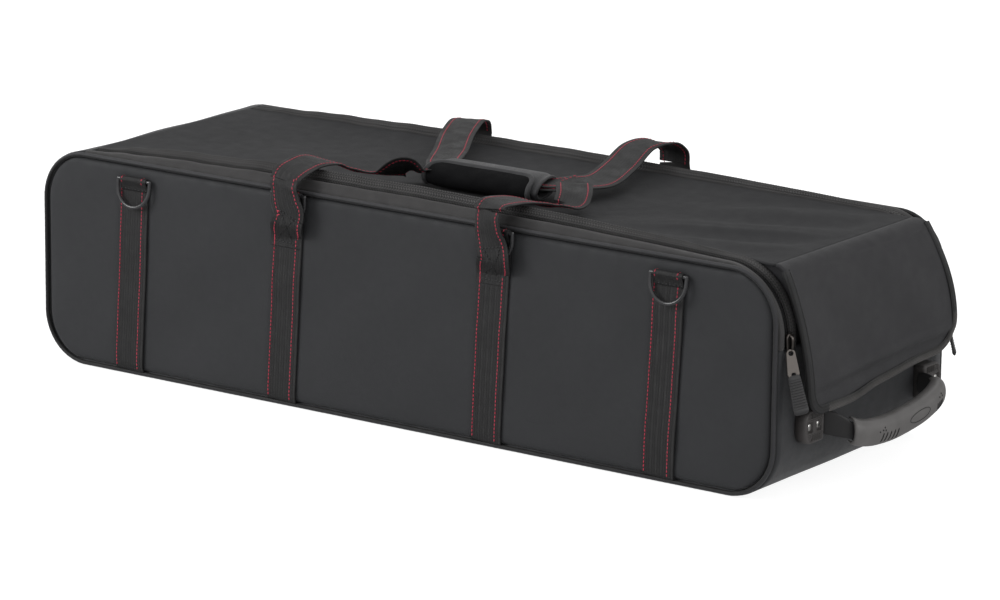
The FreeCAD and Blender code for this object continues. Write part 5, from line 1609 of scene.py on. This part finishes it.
def turned(name, profile, centres, axis, body, slot, material, steps=28):
    """Solids turned from (distance along, radius) points round an axis at each centre."""
    side = Vector((0, 0, 1)) if abs(axis.z) < 0.9 else Vector((1, 0, 0))
    across = axis.cross(side).normalized()
    verts, faces = [], []
    for centre in centres:
        start = len(verts)
        for along, radius in profile:
            for angle in [2 * math.pi * step / steps for step in range(steps)]:
                verts.append(centre + axis * along + (side * math.cos(angle)
                                                      + across * math.sin(angle)) * radius)
        rings = [[start + row * steps + step for step in range(steps)]
                 for row in range(len(profile))]
        for ring, after in zip(rings, rings[1:]):
            faces += [[ring[step], ring[(step + 1) % steps], after[(step + 1) % steps],
                       after[step]] for step in range(steps)]
        faces += [rings[0][::-1], rings[-1]]
    mesh = bpy.data.meshes.new(name)
    mesh.from_pydata(verts, [], faces)
    mesh.shade_smooth()
    mesh.materials.append(material)
    made = linked(name, mesh)
    mend(mesh)
    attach(made, body)
    return made


def haul_rivets():
    """Four rivets from the flat heads inside to the domed ones outside."""
    front = HAUL_WALL + BRACKET_DEEP - WINDOW_DEEP
    long = front - RIVET_BACK
    profile = [(0.0, RIVET_HEAD - 0.0003), (0.0003, RIVET_HEAD), (0.0012, RIVET_HEAD),
               (0.0015, RIVET_HEAD - 0.0003), (0.0016, RIVET_RADIUS), (long, RIVET_RADIUS),
               (long, RIVET_HEAD), (long + 0.0005, RIVET_HEAD)]
    for angle in np.linspace(0.1, math.pi / 2, 8)[:-1]:
        profile.append((long + 0.0005 + 0.0015 * math.sin(angle),
                        0.0001 + (RIVET_HEAD - 0.0001) * math.cos(angle)))
    centres = [Vector((RIVET_BACK, place + offset * WINDOW_SQUEEZE, HAUL_HEIGHT))
               for place in HAUL_PLACES for offset in (-RIVET_SPACE, RIVET_SPACE)]
    made = turned("haul_rivet_heads", profile, centres, Vector((1, 0, 0)), "bag",
                  "rivet_steel", STEEL)
    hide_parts("haul_rivets")


haul_rivets()

# Haul strap: a flexible moulded strap that turns in both brackets and sags between them.
HAUL_AXIS = 0.489
HAUL_REACH, HAUL_SAG = 0.036, 0.017
STRAP_HALF, STRAP_SWELL, STRAP_THICK, STRAP_BACK = 0.0095, 0.0035, 0.0017, 0.0012
PIN_PROFILE, PIN_LONG = ((0.0, 0.0026), (0.0005, 0.0033), (0.0052, 0.0033)), 0.0049
HAUL_ENDS = (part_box("front_haul_bracket")[1].y + 0.0003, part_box("rear_haul_bracket")[0].y - 0.0003)
HAUL_BOW = ((0.0, 0.0, 0.0), (0.03, 0.32, 0.12), (0.065, 0.64, 0.36), (0.105, 0.83, 0.62),
            (0.16, 0.93, 0.80), (0.25, 1.0, 0.93), (0.40, 1.02, 1.0), (0.55, 1.01, 0.93),
            (0.70, 0.99, 0.78), (0.80, 0.97, 0.57), (0.88, 0.93, 0.32), (0.935, 0.84, 0.12),
            (0.97, 0.50, 0.03), (1.0, 0.0, 0.0))
STRAP_BLACK = moulded_material("strap_black", (0.016, 0.0155, 0.016, 1.0), 0.5, 0.0007, 0.00006)


def haul_stations(count):
    """Places along the bow, each with its run, upward and outward directions."""
    line = smooth_path([(HAUL_AXIS + HAUL_REACH * out,
                         HAUL_ENDS[0] + (HAUL_ENDS[1] - HAUL_ENDS[0]) * share,
                         HAUL_HEIGHT - HAUL_SAG * down) for share, out, down in HAUL_BOW],
                       count)
    stations = []
    for index, place in enumerate(line):
        way = line[min(index + 1, count - 1)] - line[max(index - 1, 0)]
        way = Vector((way.x, way.y, 0)).normalized()
        stations.append((place, Vector((0, 0, 1)), way.cross(Vector((0, 0, 1)))))
    return stations


def moulded_sweep(name, stations, section, body, material):
    """A moulded part along stations; its section gives (up, out) points at each share."""
    points, metres, run = [], [], 0.0
    for index, (centre, rise, out) in enumerate(stations):
        if index:
            run += (centre - stations[index - 1][0]).length
        loop = section(index / (len(stations) - 1))
        points.append([centre + rise * up + out * lift for up, lift in loop])
        metres.append([(0.001 * step, run) for step in range(len(loop) + 1)])
    made = surface(name, points, metres, material, closed=True)
    mend(made.data, weld=1e-7, fill=True)
    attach(made, body)
    return made


def strap_section(share):
    """A flat strap with round edges, tallest at its brackets and slim inside the grip."""
    end = abs(share - 0.5) * 2
    high = STRAP_HALF + STRAP_SWELL * max(0.0, min(1.0, (end - 0.62) / 0.2, (1 - end) / 0.07))
    flat, loop = high - STRAP_THICK, []
    for side in (1, -1):
        for angle in np.linspace(-math.pi / 2, math.pi / 2, 9):
            loop.append((side * (flat + STRAP_THICK * math.cos(angle)),
                         -STRAP_BACK + side * STRAP_THICK * math.sin(angle)))
        for step in (0.5, 0.0, -0.5):
            loop.append((side * step * flat, -STRAP_BACK + side * STRAP_THICK))
    return loop


strap_piece = moulded_sweep("haul_strap_moulding", haul_stations(110), strap_section,
                            "haul_handle", STRAP_BLACK)
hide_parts("haul_strap")
for name, y, way in (("haul_strap_pins", HAUL_ENDS[0] - PIN_LONG, 1),
                     ("haul_strap_rear_pin", HAUL_ENDS[1] + PIN_LONG, -1)):
    pin = turned(name, PIN_PROFILE, [Vector((HAUL_AXIS, y, HAUL_HEIGHT))], Vector((0, way, 0)),
                 "haul_handle", "moulded_black", STRAP_BLACK)
    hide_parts("haul_strap")

# Grip: a light grey shell moulded over the strap, open towards the wall, with short slanted
# slots and vent dots near both ends of its face.
GRIP_START, GRIP_END = 0.205, 0.872
GRIP_STEPS, GRIP_SOFTENED = 300, 14
GRIP_OUTER = ((0.0128, -0.0078), (0.0142, -0.0050), (0.0143, -0.0010), (0.0128, 0.0032),
              (0.0088, 0.0068), (0.0030, 0.0084), (-0.0030, 0.0084), (-0.0088, 0.0068),
              (-0.0128, 0.0032), (-0.0143, -0.0010), (-0.0142, -0.0050), (-0.0128, -0.0078))
GRIP_INNER = ((-0.0112, -0.0076), (-0.0116, -0.0045), (-0.0114, -0.0010), (-0.0098, 0.0016),
              (-0.0060, 0.0042), (0.0, 0.0054), (0.0060, 0.0042), (0.0098, 0.0016),
              (0.0114, -0.0010), (0.0116, -0.0045), (0.0112, -0.0076))
GRIP_GREY = moulded_material("grip_grey", (0.092, 0.088, 0.086, 1.0), 0.42, 0.0010, 0.00010)
# Painted shade: the slots and vent dots are near-black strips on the shell, standing in for the shade
# inside them.
VENT_SHADE_BLACK = moulded_material("vent_shade_black", (0.006, 0.006, 0.0065, 1.0), 0.7, 0.0008, 0.00002)


def grip_section(share):
    """The shell's closed outline; it opens a little and thins at its two ends."""
    end = 1 - min(share, 1 - share) / 0.03
    flare = 1 + 0.03 * max(0.0, 1 - min(share, 1 - share) / 0.12) - 0.03 * max(0.0, end) ** 2
    outer = smooth_path([(up, out, 0) for up, out in GRIP_OUTER], 44)
    inner = smooth_path([(up, out, 0) for up, out in GRIP_INNER], 36)
    shrink = max(0.0, end) ** 3 * 0.0006
    loop = [(point.x * flare - math.copysign(shrink, point.x), point.y * flare - shrink)
            for point in outer]
    return loop + [(point.x * flare, point.y * flare + shrink * 0.3) for point in inner]


def grip_stations():
    """The bow's stretch inside the grip, its outward directions evened out."""
    first, last = round(GRIP_START * GRIP_STEPS), round(GRIP_END * GRIP_STEPS)
    line = haul_stations(GRIP_STEPS + 1)[first:last + 1]
    outs = [out for centre, rise, out in line]
    return [(centre, rise, sum(outs[max(index - GRIP_SOFTENED, 0):index + GRIP_SOFTENED + 1],
                               Vector()).normalized())
            for index, (centre, rise, out) in enumerate(line)]


GRIP_LINE = grip_stations()
grip_piece = moulded_sweep("haul_grip_shell", GRIP_LINE, grip_section, "haul_handle", GRIP_GREY)
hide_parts("haul_grip")


def face_of_grip(share, up):
    """A place on the grip's outer face and its directions: along, round and outward."""
    at = share * (len(GRIP_LINE) - 1)
    centre, rise, out = GRIP_LINE[round(at)]
    if int(at) + 1 < len(GRIP_LINE):
        near, far = GRIP_LINE[int(at)][0], GRIP_LINE[int(at) + 1][0]
        centre = near + (far - near) * (at - int(at))
    outline = smooth_path([(high, lift, 0) for high, lift in GRIP_OUTER], 44)[::-1]
    ups, lifts = [point.x for point in outline], [point.y for point in outline]
    lift = float(np.interp(up, ups, lifts))
    slope = float(np.interp(up + 0.0005, ups, lifts)) - lift
    tangent = (rise * 0.0005 + out * slope).normalized()
    along = rise.cross(out).normalized()
    normal = along.cross(tangent)
    normal = normal if normal.dot(out) > 0 else -normal
    return centre + rise * up + out * lift, along, tangent, normal


def let_in(verts, faces, path, half, closed=False):
    """A near-black strip along places on the grip's face, a hair proud of its skin; the slots and dots
    drawn with it are painted shade.
    """
    start, count = len(verts), len(path)
    for index, (share, up) in enumerate(path):
        place, along, tangent, normal = face_of_grip(share, up)
        before = face_of_grip(*path[index - 1 if index or closed else 0])[0]
        after = face_of_grip(*path[(index + 1) % count if closed or index + 1 < count
                                   else index])[0]
        side = normal.cross((after - before).normalized()).normalized()
        end = 1.0 if closed else math.sqrt(max(1 - abs(2 * index / (count - 1) - 1) ** 6, 0.04))
        for across, lift in ((-1, 0.0003), (1, 0.0003), (1, -0.0006), (-1, -0.0006)):
            verts.append(place + side * half * end * across + normal * lift)
    for index in range(count if closed else count - 1):
        for corner in range(4):
            after, turn = (index + 1) % count, (corner + 1) % 4
            faces.append([start + index * 4 + corner, start + index * 4 + turn,
                          start + after * 4 + turn, start + after * 4 + corner])
    if not closed:
        faces.append([start + corner for corner in range(4)])
        faces.append([start + (count - 1) * 4 + corner for corner in range(4)])


def grip_vents():
    """Slots and dots near both ends of the grip's face as painted shade, and a plain oval line
    between.
    """
    verts, faces = [], []
    for shares, slant in (((0.285, 0.312, 0.339, 0.366, 0.393), 0.016),
                          ((0.775, 0.800, 0.825, 0.850), -0.012)):
        for share in shares:
            let_in(verts, faces, [(share + slant * (step - 0.5), -0.0100 + 0.0098 * step)
                                  for step in np.linspace(0, 1, 12)], 0.0009)
    for share, up in ((0.262, 0.0016), (0.288, 0.0028), (0.306, 0.0022), (0.302, 0.0052),
                      (0.800, 0.0040), (0.830, 0.0060), (0.845, 0.0030)):
        let_in(verts, faces, [(share, up + 0.0018 * (step - 0.5))
                              for step in np.linspace(0, 1, 7)], 0.0008)
    let_in(verts, faces, [(0.575 + 0.085 * math.cos(turn), 0.0010 + 0.0052 * math.sin(turn))
                          for turn in np.linspace(0, 2 * math.pi, 72, endpoint=False)], 0.00028,
           True)
    mesh = bpy.data.meshes.new("haul_grip_vents")
    mesh.from_pydata(verts, [], faces)
    mesh.materials.append(VENT_SHADE_BLACK)
    made = linked("haul_grip_vents", mesh)
    mend(mesh)
    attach(made, "haul_handle")


grip_vents()

# D-rings: bent wire with a gloss black coat, each turning in its folded tab.
RING_BLACK = moulded_material("ring_black", (0.030, 0.030, 0.032, 1.0), 0.24, 0.0030, 0.00001,
                              0.7)


def dressed(material, *nodes):
    """Gives CAD pieces whose shape is right their finish."""
    for node in nodes:
        for held in NODES[node].material_slots:
            held.material = material


for side_name, side in SIDES:
    dressed(RING_BLACK, *["%s_d_ring_%d" % (side_name, number) for number in (1, 2, 3, 4)])

# Zip sliders: die-cast, with a plate on each side of the teeth and a bridge that holds the puller.
SLIDER_METAL = metal_material("slider_nickel", (0.140, 0.127, 0.118, 1.0), 0.36, 0.00002)
SLIDER_PLACE, SLIDER_ACROSS = (0.4846, 0.1665), 0.145
BRIDGE_ARCH = ((0, 0.0078, 0.0014), (0, 0.0070, 0.0036), (0, 0.0046, 0.0050),
               (0, -0.0010, 0.0052), (0, -0.0058, 0.0048), (0, -0.0080, 0.0036),
               (0, -0.0086, 0.0014))
BRIDGE_STEPS = 40


def stamped(name, outlines, thick, bevel, place, body, material):
    """A plate cut to an outline with its holes, its edges broken, put in place by a matrix."""
    curve = bpy.data.curves.new(name, "CURVE")
    curve.dimensions, curve.fill_mode = "2D", "BOTH"
    for outline in outlines:
        spline = curve.splines.new("POLY")
        spline.points.add(len(outline) - 1)
        for point, (across, along) in zip(spline.points, outline):
            point.co = (across, along, 0, 1)
        spline.use_cyclic_u = True
    curve.extrude, curve.bevel_depth, curve.offset = thick / 2 - bevel, bevel, -bevel
    curve.bevel_resolution = 2
    drawn = linked(name + "_outline", curve)
    graph = bpy.context.evaluated_depsgraph_get()
    mesh = bpy.data.meshes.new_from_object(drawn.evaluated_get(graph))
    bpy.data.objects.remove(drawn)
    bpy.data.curves.remove(curve)
    mesh.transform(place)
    mesh.materials.clear()
    mesh.materials.append(material)
    mesh.name = name
    made = linked(name, mesh)
    mend(mesh, weld=1e-6)
    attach(made, body)
    return made


def pill(half_across, half_along, centre=(0.0, 0.0), low=None, steps=10):
    """An outline with four round corners; low gives the half width of its lower end."""
    low = half_across if low is None else low
    radius = min(half_across, low, half_along) * 0.96
    outline = []
    for turn, (sign_across, sign_along) in enumerate(((1, 1), (-1, 1), (-1, -1), (1, -1))):
        half = half_across if sign_along > 0 else low
        round_by = min(radius, half)
        for step in np.linspace(0, math.pi / 2, steps):
            angle = turn * math.pi / 2 + step
            outline.append((centre[0] + sign_across * (half - round_by)
                            + round_by * math.cos(angle),
                            centre[1] + sign_along * (half_along - round_by)
                            + round_by * math.sin(angle)))
    return outline


def hung(side, place, tilt, swing, turned_by=30):
    """Where a hanging plate is: across, up and outward, turned towards the case's side."""
    return (Matrix.Translation((place[0], side * SLIDER_ACROSS, place[1]))
            @ Matrix.Rotation(side * math.radians(turned_by), 4, "Z")
            @ Matrix.Rotation(math.radians(90), 4, "Z") @ Matrix.Rotation(math.radians(90), 4, "X")
            @ Matrix.Rotation(side * math.radians(-tilt), 4, "Z")
            @ Matrix.Rotation(math.radians(-swing), 4, "X"))


def zip_slider(side_name, side):
    """One slider: outer plate, back plate, the post between them and the bridge."""
    node, body = side_name + "_zip_slider", side_name + "_slider"
    flat = hung(side, SLIDER_PLACE, 0, 0, 0)
    pieces = [stamped(node + ending, [outline], thick, bevel,
                      flat @ Matrix.Translation((0, 0, out)), body, SLIDER_METAL)
              for ending, outline, thick, bevel, out in (
                  ("_plate", pill(0.0064, 0.0100, low=0.0054), 0.0022, 0.0007, 0.0012),
                  ("_back", pill(0.0052, 0.0066, (0, 0.0026), 0.0042), 0.0014, 0.0004, -0.0066),
                  ("_post", pill(0.0014, 0.0018, (0, 0.0068)), 0.0078, 0.0003, -0.0028))]
    arch = smooth_path(BRIDGE_ARCH, BRIDGE_STEPS)
    across = Vector((1, 0, 0))
    stations = []
    for index, spot in enumerate(arch):
        way = (arch[min(index + 1, BRIDGE_STEPS - 1)] - arch[max(index - 1, 0)]).normalized()
        stations.append((flat @ spot, flat.to_3x3() @ across, flat.to_3x3() @ across.cross(way)))
    loop = [(0.0024 * math.cos(turn), 0.0010 * math.sin(turn))
            for turn in np.linspace(0, 2 * math.pi, 16, endpoint=False)]
    pieces.append(moulded_sweep(node + "_bridge", stations, lambda share: loop, body,
                                SLIDER_METAL))
    for piece in pieces:
        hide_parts(node)


for side_name, side in SIDES:
    zip_slider(side_name, side)

# Zip pullers: a pressed link on each slider's bridge, with a moulded tab on its lower eye.
# The tab is ribbed on its faces for the fingers.
PULLER_PLACE = (0.4888, 0.1570)
PULLER_LONG, TAB_LONG = 0.030, 0.041
PULLER_TILT, PULLER_SWING, TAB_TILT = 3, 14, 5
TAB_STEPS, TAB_RIBS = 150, 15
TAB_BLACK = moulded_material("tab_black", (0.022, 0.0215, 0.0225, 1.0), 0.5, 0.0008, 0.00006)


def zip_puller(side_name, side):
    """A pierced link with the tab that hangs from its lower eye."""
    node, body = side_name + "_zip_puller", side_name + "_puller"
    hang = Matrix.Translation((0, side * 0.003, 0)) @ hung(side, PULLER_PLACE, PULLER_TILT,
                                                           PULLER_SWING)
    link = stamped(node + "_link", [pill(0.0054, PULLER_LONG / 2, (0, 0.004 - PULLER_LONG / 2),
                                         0.0070),
                                    pill(0.0026, 0.0022, (0, -0.0004)),
                                    pill(0.0024, 0.0020, (0, 0.0078 - PULLER_LONG))],
                   0.0017, 0.0005, hang, body, SLIDER_METAL)
    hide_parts(node)
    tab = (hang @ Matrix.Translation((0, 0.0077 - PULLER_LONG, 0))
           @ Matrix.Rotation(side * math.radians(-TAB_TILT), 4, "Z"))
    across, out = tab.to_3x3() @ Vector((1, 0, 0)), tab.to_3x3() @ Vector((0, 0, 1))
    stations = [(tab @ Vector((0, -TAB_LONG * share, 0)), across, out)
                for share in np.linspace(0, 1, TAB_STEPS)]

    def tab_section(share):
        tip = min(share, 1 - share) * TAB_LONG / 0.004
        tip = math.sqrt(max(1 - (1 - min(tip, 1.0)) ** 2, 0.02))
        wide = (0.0068 + 0.0018 * share) * (0.55 + 0.45 * tip)
        rib = 0.5 + 0.5 * math.cos(2 * math.pi * share * TAB_RIBS)
        ribbed = 1 / (1 + math.exp((abs(share - 0.5) - 0.36) / 0.01))
        thick = 0.0021 * tip - 0.0007 * rib * ribbed
        return [(math.copysign(wide * abs(math.cos(turn)) ** 0.4, math.cos(turn)),
                 math.copysign(thick * abs(math.sin(turn)) ** 0.5, math.sin(turn)))
                for turn in np.linspace(0, 2 * math.pi, 40, endpoint=False)]

    grasp = moulded_sweep(side_name + "_tab_moulding", stations, tab_section, body, TAB_BLACK)
    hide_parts(side_name + "_pull_tab")


for side_name, side in SIDES:
    zip_puller(side_name, side)

# Inner end panel: the lid's own cloth behind the flap. It carries the lid's zip halves round
# the haul end's corner, and a gore on each side closes it up to the flap's crease.
LINER_ACROSS = EDGE_IN - 0.0006
LINER_THICKNESS = 0.0016
GORE_EDGE = ((ZIP_CENTRE[0] + 0.006, 0, CREASE[1] - 0.0006),
             (CREASE[0] - 0.006, 0, CREASE[1] - 0.0008),
             (CREASE[0] + 0.0025, 0, CREASE[1] - 0.0045),
             (CREASE[0] + 0.0105, 0, CREASE[1] - 0.022),
             (CASE_HALF + 0.0015, 0, ZIP_CENTRE[1] + 0.020),
             (CASE_HALF - 0.0012, 0, ZIP_CENTRE[1]))
GORE_STEPS = 26


def inner_end():
    """The panel round the corner and its two gores."""
    stations = [station for station in rim_stations(0.0, 0.0) if station[0][0] > LID_END - 0.004]
    points, metres = [], []
    for place, out, rise, crest, run in stations:
        row, flat = [], []
        for share in np.linspace(-1, 1, 34):
            lift = -0.0042 + 0.0006 * math.sin(7 * share + run * 30) * (1 - share ** 4)
            row.append((place[0] + out[0] * lift, share * LINER_ACROSS,
                        place[1] + out[1] * lift))
            flat.append((share * LINER_ACROSS, run))
        points.append(row)
        metres.append(flat)
    pieces = [surface("inner_end_cloth", points, metres, FLAP_CLOTH, flipped=True)]
    for side_name, side in SIDES:
        points, metres = [], []
        centre = Vector((ZIP_CENTRE[0], 0, ZIP_CENTRE[1]))
        for angle, far in zip(np.linspace(math.radians(88), 0, GORE_STEPS),
                              smooth_path(GORE_EDGE, GORE_STEPS)):
            out = Vector((math.cos(angle), 0, math.sin(angle)))
            near = centre + out * (ZIP_CORNER - 0.0050)
            row, flat = [], []
            for share in np.linspace(0, 1, 9):
                spot = near + (far - near) * share
                puff = 0.0014 * math.sin(math.pi * share) * math.sin(2 * angle)
                row.append((spot.x, side * (LINER_ACROSS - 0.0008 - puff), spot.z))
                flat.append((share * (far - near).length, angle * ZIP_CORNER))
            points.append(row)
            metres.append(flat)
        pieces.append(surface("inner_end_gore_" + side_name, points, metres, FLAP_CLOTH,
                              flipped=side < 0))
    for piece in pieces:
        thicken(piece, "padding", LINER_THICKNESS)
        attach(piece, "lid")
        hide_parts("inner_end_panel")


inner_end()

# Wheels: a rubber tyre on a moulded hub at each lower corner of the hinge end, on a steel
# axle with plain bushes, in a moulded housing held by rivets.
TYRE_RUBBER = moulded_material("tyre_rubber", (0.020, 0.020, 0.021, 1.0), 0.75, 0.0011, 0.00012,
                               0.3)
HUB_BLACK = moulded_material("hub_black", (0.034, 0.034, 0.036, 1.0), 0.45, 0.0009, 0.00007)
BUSH_WHITE = moulded_material("bush_white", (0.62, 0.61, 0.57, 1.0), 0.4, 0.0012, 0.00003)
for side_name, side in SIDES:
    dressed(TYRE_RUBBER, side_name + "_wheel_tyre")
    dressed(HUB_BLACK, side_name + "_wheel_hub", side_name + "_wheel_housing")
    dressed(BUSH_WHITE, side_name + "_wheel_bushes")
dressed(STEEL, "wheel_axles", "housing_rivets")

# Boards: sheet plastic inside the base and behind the haul handle's rivets.
BOARD_BLACK = moulded_material("board_black", (0.030, 0.030, 0.031, 1.0), 0.6, 0.0016, 0.00010)
dressed(BOARD_BLACK, "base_board", "haul_end_board")
